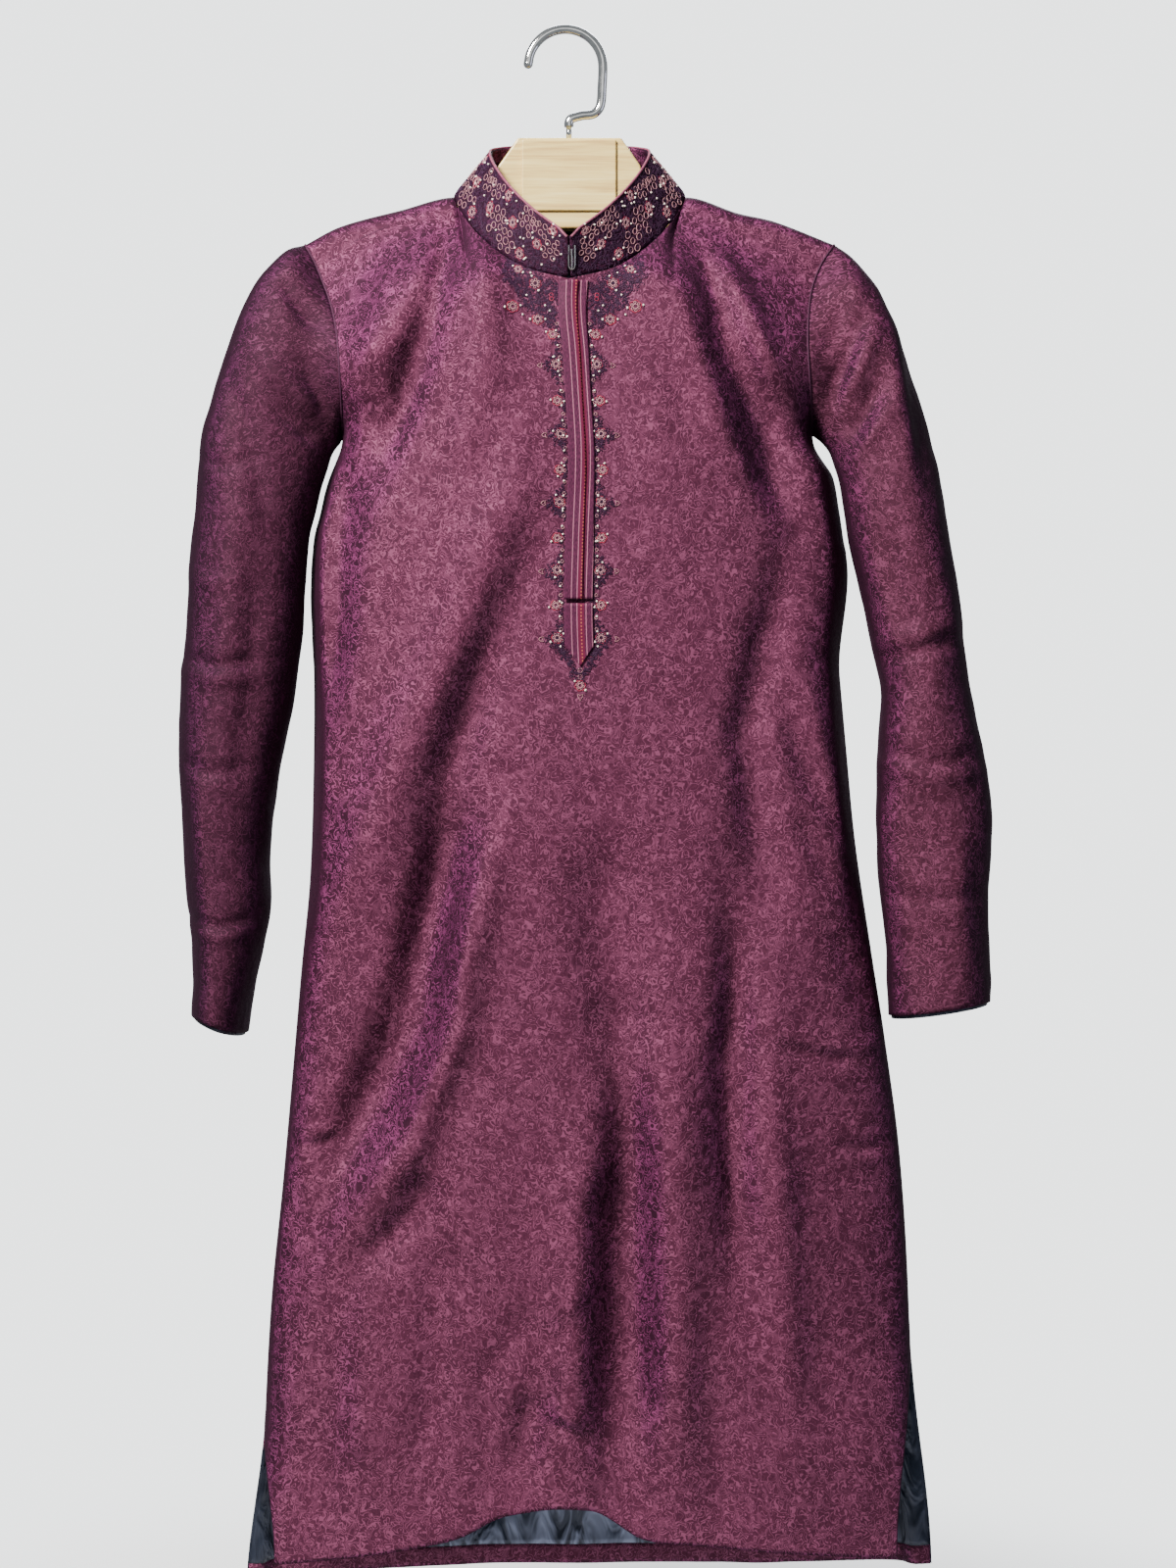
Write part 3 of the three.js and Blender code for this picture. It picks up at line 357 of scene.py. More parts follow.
# ---------------------------------------- grids of points
def top_edge(panel, shoulder_columns, neck_columns):
    """A panel's top edge from the left tip to the right tip: shoulder, neckline, shoulder."""
    angles = np.linspace(90, 270, 400) if panel == "front" else np.linspace(90, -90, 400)
    # spaced partly by width, so that no two columns crowd together at the sides of the neck
    line = collar_point(angles, 0.0)
    run = lengths(line[:, :2])
    wide = np.abs(line[:, 0] - line[0, 0])
    keys = run / run[-1] * 0.35 + wide / wide[-1] * 0.65
    angles = np.interp(np.linspace(0, 1, neck_columns), keys, angles)
    neck = collar_point(angles, 0.0)
    steps = np.linspace(0, 1, shoulder_columns + 1)[:-1] ** 1.35

    def shoulder(tip, end):
        x = mix(tip, end, steps)
        return np.stack([x, np.zeros_like(x), -ridge_down(x)], axis=-1)

    left = shoulder(RIDGE["x"][0], neck[0, 0])
    right = shoulder(RIDGE["x"][-1], neck[-1, 0])[::-1]
    return np.concatenate([left, neck, right])


def edge_downs(side, hem):
    """Where the rows of a panel's grid meet its side edge, closest at the armhole's ends."""
    tip = ridge_down(RIDGE["x"][0 if side == "left" else -1])
    turn = np.linspace(0, math.pi, ARMHOLE_STEPS + 1)
    upper = mix(tip, ARMPIT[side], (1 - np.cos(turn)) / 2)
    return np.concatenate([upper, np.linspace(ARMPIT[side], hem, LOWER_ROWS + 1)[1:]])


def side_edge(side, panel, hem):
    """A panel's side edge from its shoulder tip to its hem."""
    down = edge_downs(side, hem)
    free = smooth((down - SLIT_TOP[side]) / (hem - SLIT_TOP[side]))
    x = edge_x(side, down)
    flare = FLARE[panel][0 if side == "left" else 1]
    return np.stack([x + flare * free, panel_y(x, down, panel), -down], axis=-1)


def panel_grid(panel, shoulder_columns=38, neck_columns=66):
    """A panel's points [row, column], filled in from its four edges, then given its depth."""
    hem = HEM[panel]
    top = top_edge(panel, shoulder_columns, neck_columns)
    left = side_edge("left", panel, hem["down"][0])
    right = side_edge("right", panel, hem["down"][-1])
    v = ((left[0, 2] - left[:, 2]) / (left[0, 2] - left[-1, 2]))[:, None]
    u = ((top[:, 0] - left[0, 0]) / (right[0, 0] - left[0, 0]))[None, :]
    foot_x = mix(left[-1, 0], right[-1, 0], u)
    foot = {0: foot_x, 2: -curve(hem["x"], hem["down"], foot_x)}

    def between(axis):
        sides = (1 - u) * left[:, None, axis] + u * right[:, None, axis]
        ends = (1 - v) * top[None, :, axis] + v * foot[axis]
        corners_top = mix(left[0, axis], right[0, axis], u)
        corners_foot = mix(left[-1, axis], right[-1, axis], u)
        return sides + ends - (1 - v) * corners_top - v * corners_foot

    x, z = between(0), between(2)
    # the panel meets its seams exactly, and the difference is eased out below them
    fit = top[:, 1] - panel_y(top[:, 0], -top[:, 2], panel)
    near = np.exp(-((top[:, None, 0] - top[None, :, 0]) / 14) ** 2)
    eased = (near @ fit) / near.sum(axis=1)
    share = smooth(v / 0.09)
    meet = (fit[None, :] * (1 - share) + eased[None, :] * share) * (1 - v) ** 10
    y = panel_y(x, -z, panel, 1.0) + meet
    gap = (-1 if panel == "front" else 1) * SEAM_GAP / 2
    return np.stack([x, y + gap, z], axis=-1)


def grid_normals(grid, tube):
    """Unit normals of a grid, on the side that faces out when columns run that way round."""
    down = np.gradient(grid, axis=0)
    if tube:
        along = (np.roll(grid, -1, axis=1) - np.roll(grid, 1, axis=1)) / 2
    else:
        along = np.gradient(grid, axis=1)
    return unit(np.cross(down, along))


def flutter(grid, size, depth, seed):
    """Uneven softness of real cloth: signed heights, in the size of its waves, in millimetres."""
    flat = grid.reshape(-1, 3) / size + seed
    heights = np.fromiter((noise.noise(Vector(p)) for p in flat), float, len(flat))
    return depth * heights.reshape(grid.shape[:2])


# ---------------------------------------- making meshes
def linear(hex_colour):
    """An sRGB hex colour as the linear RGBA that a shader socket takes."""
    parts = [int(hex_colour[i:i + 2], 16) / 255 for i in (1, 3, 5)]
    return [c / 12.92 if c <= 0.04045 else ((c + 0.055) / 1.055) ** 2.4 for c in parts] + [1.0]


def show(name, bm, materials):
    """Links a finished bmesh, in metres, as a piece of the kurta or its hanger."""
    mesh = bpy.data.meshes.new(name)
    bm.to_mesh(mesh)
    bm.free()
    mesh.shade_smooth()
    piece = bpy.data.objects.new(name, mesh)
    bpy.context.scene.collection.objects.link(piece)
    for material in materials:
        mesh.materials.append(material)
    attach(piece, "root")
    return piece


def flat_places(grid, start=None):
    """Where each point of a grid lies on the flat cloth, in metres: across and down the weave."""
    across = lengths(grid[..., :2], axis=1)
    across -= across[:, grid.shape[1] // 2][:, None]
    down = lengths(grid[..., 1:] * [0.5, 1])     # folds take up half of their depth
    down += -grid[0, :, 2] if start is None else start
    return np.stack([across, down], axis=-1) * MM


def cloth(name, grid, outside, inside, wall, flat, tube=False):
    """A shell of cloth: a grid moved onto its points, and a wall given inwards from them."""
    points = np.concatenate([grid, grid[:, :1]], axis=1) if tube else grid
    rows, columns = points.shape[:2]
    bm = bmesh.new()
    bmesh.ops.create_grid(bm, x_segments=columns - 1, y_segments=rows - 1, size=1)
    mesh = bpy.data.meshes.new(name)
    bm.to_mesh(mesh)
    bm.free()
    mesh.vertices.foreach_set("co", (points[::-1] * MM).astype(np.float32).ravel())
    corners = np.zeros(len(mesh.loops), np.int32)
    mesh.loops.foreach_get("vertex_index", corners)
    places = flat[::-1].reshape(-1, 2)[corners]
    mesh.uv_layers.new(name="Cloth").data.foreach_set("uv", places.astype(np.float32).ravel())
    bm = bmesh.new()
    bm.from_mesh(mesh)
    if tube:
        bmesh.ops.remove_doubles(bm, verts=[v for v in bm.verts if v.is_boundary], dist=2e-6)
    bpy.data.meshes.remove(mesh)
    piece = show(name, bm, [outside, inside])
    shell = piece.modifiers.new("Wall", "SOLIDIFY")
    shell.thickness = wall * MM
    shell.offset = -1
    shell.material_offset = 1
    shell.material_offset_rim = 0
    return piece


def tube_places(grid):
    """Flat places of a tube's grid, with the closing column at its own distance, measured from its
    lower edge, so that the weave runs straight there and the top is cut on a curve."""
    closed = np.concatenate([grid, grid[:, :1]], axis=1)
    around, along = lengths(closed, axis=1), lengths(closed)
    return np.stack([around - around[:, -1:] / 2, along - along[-1:] + 700], axis=-1) * MM


class Surface:
    """A made grid, on which other pieces are laid."""

    def __init__(self, grid):
        rows, columns = grid.shape[:2]
        corner = np.arange(rows * columns).reshape(rows, columns)
        quads = np.stack([corner[:-1, :-1], corner[1:, :-1], corner[1:, 1:], corner[:-1, 1:]],
                         axis=-1)
        self.tree = BVHTree.FromPolygons(grid.reshape(-1, 3).tolist(),
                                         quads.reshape(-1, 4).tolist())

    def at(self, x, down, lift):
        """The place on the surface behind (x, down), lifted off it to the front."""
        place, normal, _, _ = self.tree.ray_cast(Vector((x, -500, -down)), Vector((0, 1, 0)))
        if place is None:
            place, normal, _, _ = self.tree.find_nearest(Vector((x, -60, -down)))
        if normal.y > 0:
            normal = -normal
        return np.array(place + normal * lift)

    def grid(self, x, down, lift):
        return np.array([[self.at(a, b, lift) for a, b in zip(*line)] for line in zip(x, down)])


def thread_piece(name, paths, radius, material, sides=2, cyclic=False):
    """Many cords as one mesh: each path is a list of points in millimetres. More sides make a
    rounder cord."""
    line = bpy.data.curves.new(name, "CURVE")
    line.dimensions = "3D"
    line.bevel_depth = radius * MM
    line.bevel_resolution = sides - 2
    line.use_fill_caps = not cyclic
    for path in paths:
        spline = line.splines.new("POLY")
        spline.points.add(len(path) - 1)
        flat = np.concatenate([np.asarray(path) * MM, np.ones((len(path), 1))], axis=1)
        spline.points.foreach_set("co", flat.ravel())
        spline.use_cyclic_u = cyclic
    holder = bpy.data.objects.new(name + "_line", line)
    bpy.context.scene.collection.objects.link(holder)
    bpy.context.view_layer.update()
    shape = holder.evaluated_get(bpy.context.evaluated_depsgraph_get()).to_mesh()
    bm = bmesh.new()
    bm.from_mesh(shape)
    bpy.data.objects.remove(holder)
    bmesh.ops.recalc_face_normals(bm, faces=bm.faces)
    return show(name, bm, [material])


# ---------------------------------------- the kurta's pieces
def sleeve_grid(side, front, back, rows=170):
    """Rings round a sleeve, from the armhole to the cuff, with its folds."""
    table = SLEEVE[side]
    sign = -1 if side == "left" else 1
    around = 2 * ARMHOLE_STEPS
    front_edge = front[:ARMHOLE_STEPS + 1, 0 if side == "left" else -1]
    back_edge = back[:ARMHOLE_STEPS + 1, -1 if side == "left" else 0]
    first, second = (front_edge, back_edge) if side == "left" else (back_edge, front_edge)
    armhole = np.concatenate([first, second[1:-1][::-1]]) + np.array([sign * ARMHOLE_GAP, 0, 0])
    turn = 2 * math.pi * np.arange(around) / around
    column = {name: np.array(values, float) for name, values in table.items()}
    outer = np.stack([column["outX"], -column["forward"], -column["outDown"]], axis=-1)
    inner = np.stack([column["inX"], -column["forward"], -column["inDown"]], axis=-1)
    centre = (outer + inner) / 2
    rings = centre[:, None] + (outer - centre)[:, None] * np.cos(turn)[None, :, None]
    rings[..., 1] += sign * column["half"][:, None] * np.sin(turn)[None]
    rings = np.concatenate([armhole[None], rings])
    centres = rings.mean(axis=1)
    keys = lengths(centres)
    at = keys[-1] * (np.linspace(0, 1, rows) ** 1.1)
    return curve(keys, rings.reshape(len(rings), -1), at).reshape(rows, around, 3)


def creased(grid, own, other, offset):
    """A sleeve's grid with folds: its own in front, and the other sleeve's behind, shifted by
    offset. They fade at the armhole and the cuff."""
    normals = grid_normals(grid, True)
    x, down = grid[..., 0], -grid[..., 2]
    ahead = smooth((0.25 - normals[..., 1]) / 0.6)
    row = np.arange(len(grid))
    ends = smooth(row / 5) * smooth((len(grid) - 1 - row) / 6)
    held = (0.25 + 0.75 * ends) * smooth(row / 3)
    height = fold_height(own, x, down) * ahead + fold_height(other, offset - x, down) * (1 - ahead)
    height += flutter(grid, 70, 2.2, 3.1) + flutter(grid, 21, 0.7, 9.4)
    return grid + normals * (height * held[:, None])[..., None]


def softened(grid, seed):
    """A panel with the uneven softness of cloth, held at its top and side seams."""
    normals = grid_normals(grid, False)
    rows, columns = grid.shape[:2]
    hold = smooth(np.arange(rows) / 12)[:, None] * smooth(from_ends(columns) / 10)[None, :]
    lower = smooth((-grid[..., 2] - 450) / 500)
    height = flutter(grid, 95, 2.4, seed) * (0.6 + 0.6 * lower) + flutter(grid, 24, 0.6, seed + 5)
    return grid + normals * (height * hold)[..., None]


def let_out(grid, sleeves):
    """A panel let out below its armholes, where the cloth bunches up to the sleeves, and turned
    back along its side seams as far as the hips."""
    near = (from_ends(grid.shape[1]) / (grid.shape[1] - 1))[None, :]
    moved = grid.copy()
    for side, sign in (("left", -1), ("right", 1)):
        edge = grid[:, 0 if grid[-1, 0, 0] * sign > 0 else -1]
        rings = sleeves[side][4:]      # below the seam itself
        inner = rings[np.arange(len(rings)), np.argmin(rings[..., 0] * sign, axis=1)]
        down = -edge[:, 2]
        sleeve = np.interp(down, -inner[:, 2], inner[:, 0])
        start = smooth((down - LET_OUT["from"]) / LET_OUT["over"])
        out = np.clip((sleeve - edge[:, 0]) * sign - LET_OUT["clear"], 0, LET_OUT["most"])
        out *= start * smooth((LET_OUT["to"] - down) / LET_OUT["fade"]) * sign
        back = TURN_BACK["most"] * start * smooth((TURN_BACK["hips"] - down) / TURN_BACK["fade"])
        here = grid[..., 0] * sign > 0
        for axis, shift, share in ((0, out, LET_OUT["share"]), (1, back, TURN_BACK["share"])):
            moved[..., axis] += shift[:, None] * smooth((share - near) / share) * here
    return moved


front_grid = panel_grid("front")
back_grid = panel_grid("back")[:, ::-1]
sleeve_grids = {side: sleeve_grid(side, front_grid, back_grid) for side in SLEEVE}
sleeve_grids = {
    "left": creased(sleeve_grids["left"], LEFT_SLEEVE_FOLDS, turned_over(RIGHT_SLEEVE_FOLDS), -8),
    "right": creased(sleeve_grids["right"], RIGHT_SLEEVE_FOLDS, turned_over(LEFT_SLEEVE_FOLDS), 8)}
front_grid = softened(let_out(front_grid, sleeve_grids), 1.7)
back_grid = softened(let_out(back_grid, sleeve_grids), 8.2)


# ---------------------------------------- materials
COLOURS = {"data_type": "RGBA", "give": 2}      # a Mix node that blends colours
# The jacquard's pattern, in millimetres on the flat cloth, with the scrolls in turns for each lump
# of the swirl and the bends in lumps for each millimetre. The scrolls and the mottle of the yarn
# are finer in real cloth, and are drawn this coarse so that they show.
WEAVE = {"swirl": 5.2, "scrolls": 2.7, "medallion": (50, 74), "flower": 14, "bend": 16,
         "bends": 0.06, "yarn": 1.6, "shade": 38, "strength": 45, "crumple": 14}
# Stripes of the braid, in millimetres from its left edge: where each lies and half its width.
STRIPES = {"red": (12.9, 2.3), "chain": (13.0, 0.45), "pins": (5.6, 9.9, 16.7, 21.1), "pin": 0.28,
           "soft": 0.25, "pick": 2.6, "rib": 0.8}


def feed(tree, made, inputs):
    """Sets a node's inputs, by name or number, to values or to the sockets that feed them."""
    for name, value in inputs.items():
        if isinstance(value, bpy.types.NodeSocket):
            tree.links.new(value, made.inputs[name])
        else:
            made.inputs[name].default_value = value


def node(tree, kind, inputs=(), give=0, stops=(), **settings):
    """Adds a node and gives one of its outputs. Its kind may name its operation too. Inputs go by
    name, or in order if they are a list; settings are its properties, and stops the (place, hex
    colour) stops of a colour ramp."""
    kind, _, operation = kind.partition(" ")
    made = tree.nodes.new("ShaderNode" + kind)
    if operation:
        made.operation = operation
    for name, value in settings.items():
        setattr(made, name, value)
    for k, (place, colour) in enumerate(stops):
        elements = made.color_ramp.elements
        element = elements[k] if k < len(elements) else elements.new(place)
        element.position = place
        element.color = linear(colour)
    feed(tree, made, inputs if isinstance(inputs, dict) else dict(enumerate(inputs)))
    return made.outputs[give]


def start(name):
    """An empty material, what adds a node to it, and what feeds its surface shader."""
    material = bpy.data.materials.new(name)
    material.use_nodes = True
    tree = material.node_tree
    return material, partial(node, tree), partial(feed, tree, tree.nodes["Principled BSDF"])


def jacquard(name, ground, ground_light, figure, dark_tone_and_painted_shade, painted_float_sheen, seed=0.0):
    """Silk-and-viscose jacquard: a matt plum ground with a figure of fine scrolls, medallions and
    small flowers in glossy floats. Face on the figure is a little paler than the ground. Where the
    cloth turns away from the viewer the ground darkens as painted shade, and the floats take a
    painted magenta sheen, then painted dark shade."""
    material, add, finish = start(name)
    ground, ground_light, figure, dark_tone_and_painted_shade, painted_float_sheen = [
        linear(colour) for colour in (ground, ground_light, figure, dark_tone_and_painted_shade, painted_float_sheen)]
    flat = add("VectorMath SCALE", {0: add("UVMap", uv_map="Cloth"), "Scale": 1 / MM})
    flat = add("VectorMath ADD", [flat, (seed, seed * 0.7, 0)])

    def cloud(size, detail, distortion=0.0, stretch=(1, 1, 1), offset=0.0):
        """Soft lumps of a size in millimetres on the flat cloth."""
        place = add("Mapping", {"Vector": flat, "Scale": [s / size for s in stretch],
                                "Location": (offset, offset, 0)})
        return add("TexNoise", {"Vector": place, "Scale": 1.0, "Detail": detail,
                                "Distortion": distortion}, noise_dimensions="2D")

    def cells(across, down, randomness):
        """Distance from the middle of each of the figure's repeats."""
        place = add("Mapping", {"Vector": bent, "Scale": (1 / across, 1 / down, 1)})
        return add("TexVoronoi", {"Vector": place, "Scale": 1.0, "Randomness": randomness},
                   voronoi_dimensions="2D")

    def line(value, level, width):
        """1 along the contour where value equals level, falling to 0 at width."""
        off = add("Math SUBTRACT", [value, level])
        off = add("Math ABSOLUTE", [off])
        off = add("Math DIVIDE", [off, width], use_clamp=True)
        return add("Math SUBTRACT", [1.0, off], use_clamp=True)

    def scaled(value, factor, shift):
        """Part of a value's range, stretched to run from 0 to 1."""
        return add("Math MULTIPLY_ADD", [value, factor, shift], use_clamp=True)

    # scrolls: kinked contours round a soft swirl, 2.5 to 4 mm apart
    wave = add("Math MULTIPLY", [cloud(WEAVE["swirl"], 0.0, 1.0), 2 * math.pi * WEAVE["scrolls"]])
    scrolls = scaled(add("Math SINE", [wave]), 2.8, -1.3)
    # medallions, drawn as outlines, and small flowers between them
    bend = add("TexNoise", {"Vector": flat, "Scale": WEAVE["bends"], "Detail": 1.0},
               give="Color", noise_dimensions="2D")
    bent = add("VectorMath MULTIPLY_ADD", [bend, (WEAVE["bend"], WEAVE["bend"], 0), flat])
    medal = cells(*WEAVE["medallion"], 0.7)
    petal = cells(WEAVE["flower"], WEAVE["flower"], 0.8)
    mask = add("Math MULTIPLY", [scrolls, 0.85])
    for part, rings, share in ((medal, ((0.38, 0.03), (0.15, 0.035)), 0.35),
                               (petal, ((0.20, 0.055), (0.05, 0.06)), 0.5)):
        drawn = add("Math MAXIMUM", [line(part, *rings[0]), line(part, *rings[1])])
        drawn = add("Math MULTIPLY", [drawn, share])
        mask = add("Math MAXIMUM", [mask, drawn])
    strength = scaled(cloud(WEAVE["strength"], 2.0, offset=3.0), 0.7, 0.62)
    mask = add("Math MULTIPLY", [mask, strength], use_clamp=True)
    # mottle of the twisted yarn, and slow unevenness of shade
    grain = cloud(WEAVE["yarn"], 1.0, stretch=(1.0, 0.8, 1))
    warp = add("Mix", {0: cloud(WEAVE["shade"], 3.0, offset=7.0), 6: ground, 7: dark_tone_and_painted_shade},
               **COLOURS)
    warp = add("Mix", {0: 0.35, 6: warp, 7: ground}, **COLOURS)
    speck = add("Math MULTIPLY_ADD", [scaled(grain, 3.4, -1.2), 0.26, 0.12])
    body = add("Mix", {0: speck, 6: warp, 7: ground_light}, **COLOURS)
    # away from the viewer the colour is painted: the ground darkens as painted shade, and the floats
    # take a painted magenta sheen, then painted dark shade
    turned = add("LayerWeight", {"Blend": 0.5}, give="Facing")
    painted_turn_shade = add("Math MULTIPLY", [scaled(turned, 3.2, -0.05), 0.86])
    body = add("Mix", {0: painted_turn_shade, 6: body, 7: dark_tone_and_painted_shade}, **COLOURS)
    # painted sheen: the floats flash magenta at middling turns from the viewer, and go dark as
    # painted shade beyond
    painted_sheen = add("Math MULTIPLY", [scaled(turned, 3.2, -0.35), scaled(turned, -2.2, 1.35)])
    floats = add("Mix", {0: scaled(turned, 3.0, -0.5), 6: figure, 7: dark_tone_and_painted_shade}, **COLOURS)
    floats = add("Mix", {0: painted_sheen, 6: floats, 7: painted_float_sheen}, **COLOURS)
    weave = add("Mix", {0: add("Math MULTIPLY", [mask, 0.9]), 6: body, 7: floats},
                **COLOURS)
    rough = add("Math MULTIPLY_ADD", [mask, -0.12, 0.66])
    rough = add("Math MULTIPLY_ADD", [grain, 0.12, rough])
    # raised floats and yarn, and a soft crumple too fine for the mesh
    height = add("Math ADD", [add("Math MULTIPLY", [mask, 0.5]),
                          add("Math MULTIPLY", [grain, 0.5])])
    crumple = cloud(WEAVE["crumple"], 3.0, 0.4, stretch=(1, 0.7, 1), offset=11.0)
    height = add("Math ADD", [height, add("Math MULTIPLY", [crumple, 2.6])])
    finish({"Base Color": weave, "Roughness": rough, "Specular IOR Level": 0.22,
            "Specular Tint": linear("#dca6cc"), "Sheen Weight": 0.03, "Sheen Roughness": 0.35,
            "Sheen Tint": linear("#b45ab0"),
            "Normal": add("Bump", {"Height": height, "Strength": 0.55, "Distance": 0.6 * MM})})
    return material


def satin_lining():
    """Charcoal polyester satin: smooth, slippery floats with long soft highlights and fine creases,
    whose crests carry a painted pale highlight, most in the middle of the hem."""
    material, add, finish = start("polyester_satin_lining")
    place = add("TexCoord", give="Object")
    cloud = add("TexNoise", {"Vector": place, "Scale": 1 / 0.05, "Detail": 3.0})
    ribs = add("Mapping", {"Vector": place, "Scale": (1 / 0.018, 1 / 0.03, 1 / 0.05)})
    creases = add("TexNoise", {"Vector": ribs, "Scale": 1.0, "Detail": 2.0, "Distortion": 1.8})
    # painted highlight: the crests of the creases are painted pale blue-grey, most near the middle
    # across
    painted_highlight = add("MapRange", {"Value": creases, "From Min": 0.4, "From Max": 0.75})
    aside = add("Math ABSOLUTE", [add("SeparateXYZ", [place])])
    middle = add("MapRange", {"Value": aside, "From Min": 0.06, "From Max": 0.18, "To Min": 1.0,
                              "To Max": 0.1})
    painted_highlight = add("Math MULTIPLY", [painted_highlight, middle])
    base = add("ValToRGB", [cloud], stops=[(0.3, "#0a0d14"), (0.7, "#181f2c")])
    finish({"Base Color": add("Mix", {0: painted_highlight, 6: base, 7: linear("#7f8aa8")}, **COLOURS),
            "Roughness": 0.36, "Specular IOR Level": 0.55, "Specular Tint": linear("#b4c0e4"),
            "Anisotropic": 0.5,
            "Normal": add("Bump", {"Height": creases, "Strength": 0.9, "Distance": 6 * MM})})
    return material


def striped_ribbon():
    """Satin braid woven in stripes: plum ground, pale pink pinstripes, and a redder middle stripe
    with an orange chain of tiny picks down it."""
    material, add, finish = start("striped_satin_braid")
    place = add("UVMap", uv_map="Cloth")
    across = add("Math MULTIPLY", [add("SeparateXYZ", [place]), 1 / MM])
    down = add("Math MULTIPLY", [add("SeparateXYZ", [place], give=1), 1 / MM])

    def stripe(centre, half):
        """1 within a stripe, falling to 0 over a soft edge."""
        off = add("Math ABSOLUTE", [add("Math SUBTRACT", [across, centre])])
        return add("Math MULTIPLY_ADD", [off, -1 / STRIPES["soft"], half / STRIPES["soft"] + 0.5],
                   use_clamp=True)

    def beat(length):
        """A wave down the braid."""
        turn = add("Math MULTIPLY", [down, 2 * math.pi / length])
        return add("Math SINE", [turn])

    warp = add("Mapping", {"Vector": place, "Scale": (1 / (0.6 * MM), 1 / (2.5 * MM), 1)})
    grain = add("TexNoise", {"Vector": warp, "Scale": 1.0, "Detail": 1.0}, noise_dimensions="2D")
    # the chain: oval picks
    pick = add("Math MULTIPLY_ADD", [beat(STRIPES["pick"]), 2.0, 0.3], use_clamp=True)
    pick = add("Math MULTIPLY", [stripe(*STRIPES["chain"]), pick], use_clamp=True)
    pins = stripe(STRIPES["pins"][0], STRIPES["pin"])
    for centre in STRIPES["pins"][1:]:
        pins = add("Math MAXIMUM", [pins, stripe(centre, STRIPES["pin"])])
    colour = add("ValToRGB", [grain], stops=[(0.25, "#34102a"), (0.75, "#5b2446")])
    for share, tint in ((stripe(*STRIPES["red"]), "#5c1436"), (pick, "#a85a4c"), (pins, "#b0708c")):
        colour = add("Mix", {0: share, 6: colour, 7: linear(tint)}, **COLOURS)
    height = add("Math MULTIPLY", [beat(STRIPES["rib"]), 0.12])
    for raised in (add("Math MAXIMUM", [pins, pick]), grain):
        height = add("Math ADD", [height, raised])
    finish({"Base Color": colour, "Roughness": 0.6, "Specular IOR Level": 0.15,
            "Normal": add("Bump", {"Height": height, "Strength": 0.5, "Distance": 0.3 * MM})})
    return material


def mottled(name, dark, light, roughness, size):
    """Two shades that run into each other over a size in millimetres, and are faintly uneven."""
    material, add, finish = start(name)
    mottle = add("TexNoise", {"Vector": add("TexCoord", give="Object"), "Scale": 1 / (size * MM),
                              "Detail": 1.0})
    finish({"Base Color": add("ValToRGB", [mottle], stops=[(0.3, dark), (0.7, light)]),
            "Roughness": roughness, "Specular IOR Level": 0.2,
            "Normal": add("Bump", {"Height": mottle, "Strength": 0.5, "Distance": 0.3 * MM})})
    return material


def spun_thread(name, dark, light, roughness=0.45, twist=0.8):
    """Rayon embroidery thread: twisted and glossy, so each stitch has a small soft highlight."""
    return mottled(name, dark, light, roughness, twist)


def pearl_glass():
    """Pearl-coated glass: off-white and smooth, with a small bright highlight on each bead."""
    return mottled("pearl_glass_bead", "#efe0d8", "#fff8f2", 0.15, 0.8)


def pale_wood():
    """Lacquered poplar: cream with faint straight brown grain lying across the block."""
    material, add, finish = start("lacquered_poplar")
    place = add("TexCoord", give="Object")
    bands = add("Mapping", {"Vector": place, "Scale": (1 / 0.09, 1 / 0.02, 1 / 0.0055)})
    bands = add("TexNoise", {"Vector": bands, "Scale": 1.0, "Detail": 3.0, "Distortion": 0.5})
    fibres = add("Mapping", {"Vector": place, "Scale": (1 / 0.03, 1 / 0.006, 1 / 0.0009)})
    fibres = add("TexNoise", {"Vector": fibres, "Scale": 1.0, "Detail": 2.0})
    grain = add("Math MULTIPLY_ADD", [fibres, 0.45, bands])
    colour = add("ValToRGB", [grain],
                 stops=[(0.45, "#ecdd9e"), (0.72, "#dfc77e"), (0.95, "#c4a566")])
    finish({"Base Color": colour, "Roughness": 0.42, "Coat Weight": 0.25, "Coat Roughness": 0.25,
            "Normal": add("Bump", {"Height": grain, "Strength": 0.15, "Distance": 0.4 * MM})})
    return material


def plated(name, colour, roughness):
    """Plated steel: mirror bright, with faint wiping marks in its gloss."""
    material, add, finish = start(name)
    wiped = add("TexNoise", {"Vector": add("TexCoord", give="Object"), "Scale": 1 / (6 * MM),
                             "Detail": 3.0})
    finish({"Roughness": add("MapRange", {"Value": wiped, "To Min": roughness,
                                          "To Max": roughness + 0.08}),
            "Base Color": add("ValToRGB", [wiped], stops=[(0.3, colour), (0.7, "#dfe1e3")]),
            "Metallic": 1.0})
    return material


def matt_floor():
    """Painted studio floor: pale, matt, barely uneven, and fading out into the white surround."""
    material, add, finish = start("pale_matt_floor")
    place = add("TexCoord", give="Object")
    cloud = add("TexNoise", {"Vector": place, "Scale": 1.2, "Detail": 4.0})
    away = add("VectorMath MULTIPLY", [place, (1, 1, 0)])
    away = add("VectorMath LENGTH", [away], give="Value")
    edge = add("MapRange", {"Value": away, "From Min": 0.1, "From Max": 1.0, "To Min": 1.0,
                            "To Max": 0.0}, interpolation_type="SMOOTHERSTEP")
    finish({"Base Color": add("ValToRGB", [cloud], stops=[(0.3, "#f0f1f1"), (0.7, "#f6f7f6")]),
            "Roughness": 0.9, "Alpha": edge})
    return material


# each jacquard's fourth colour is its dark tone and its painted shade, and its fifth is its painted
# sheen
plum = jacquard("plum_jacquard", "#421a33", "#67364c", "#824868", "#200c1c", "#93407e")
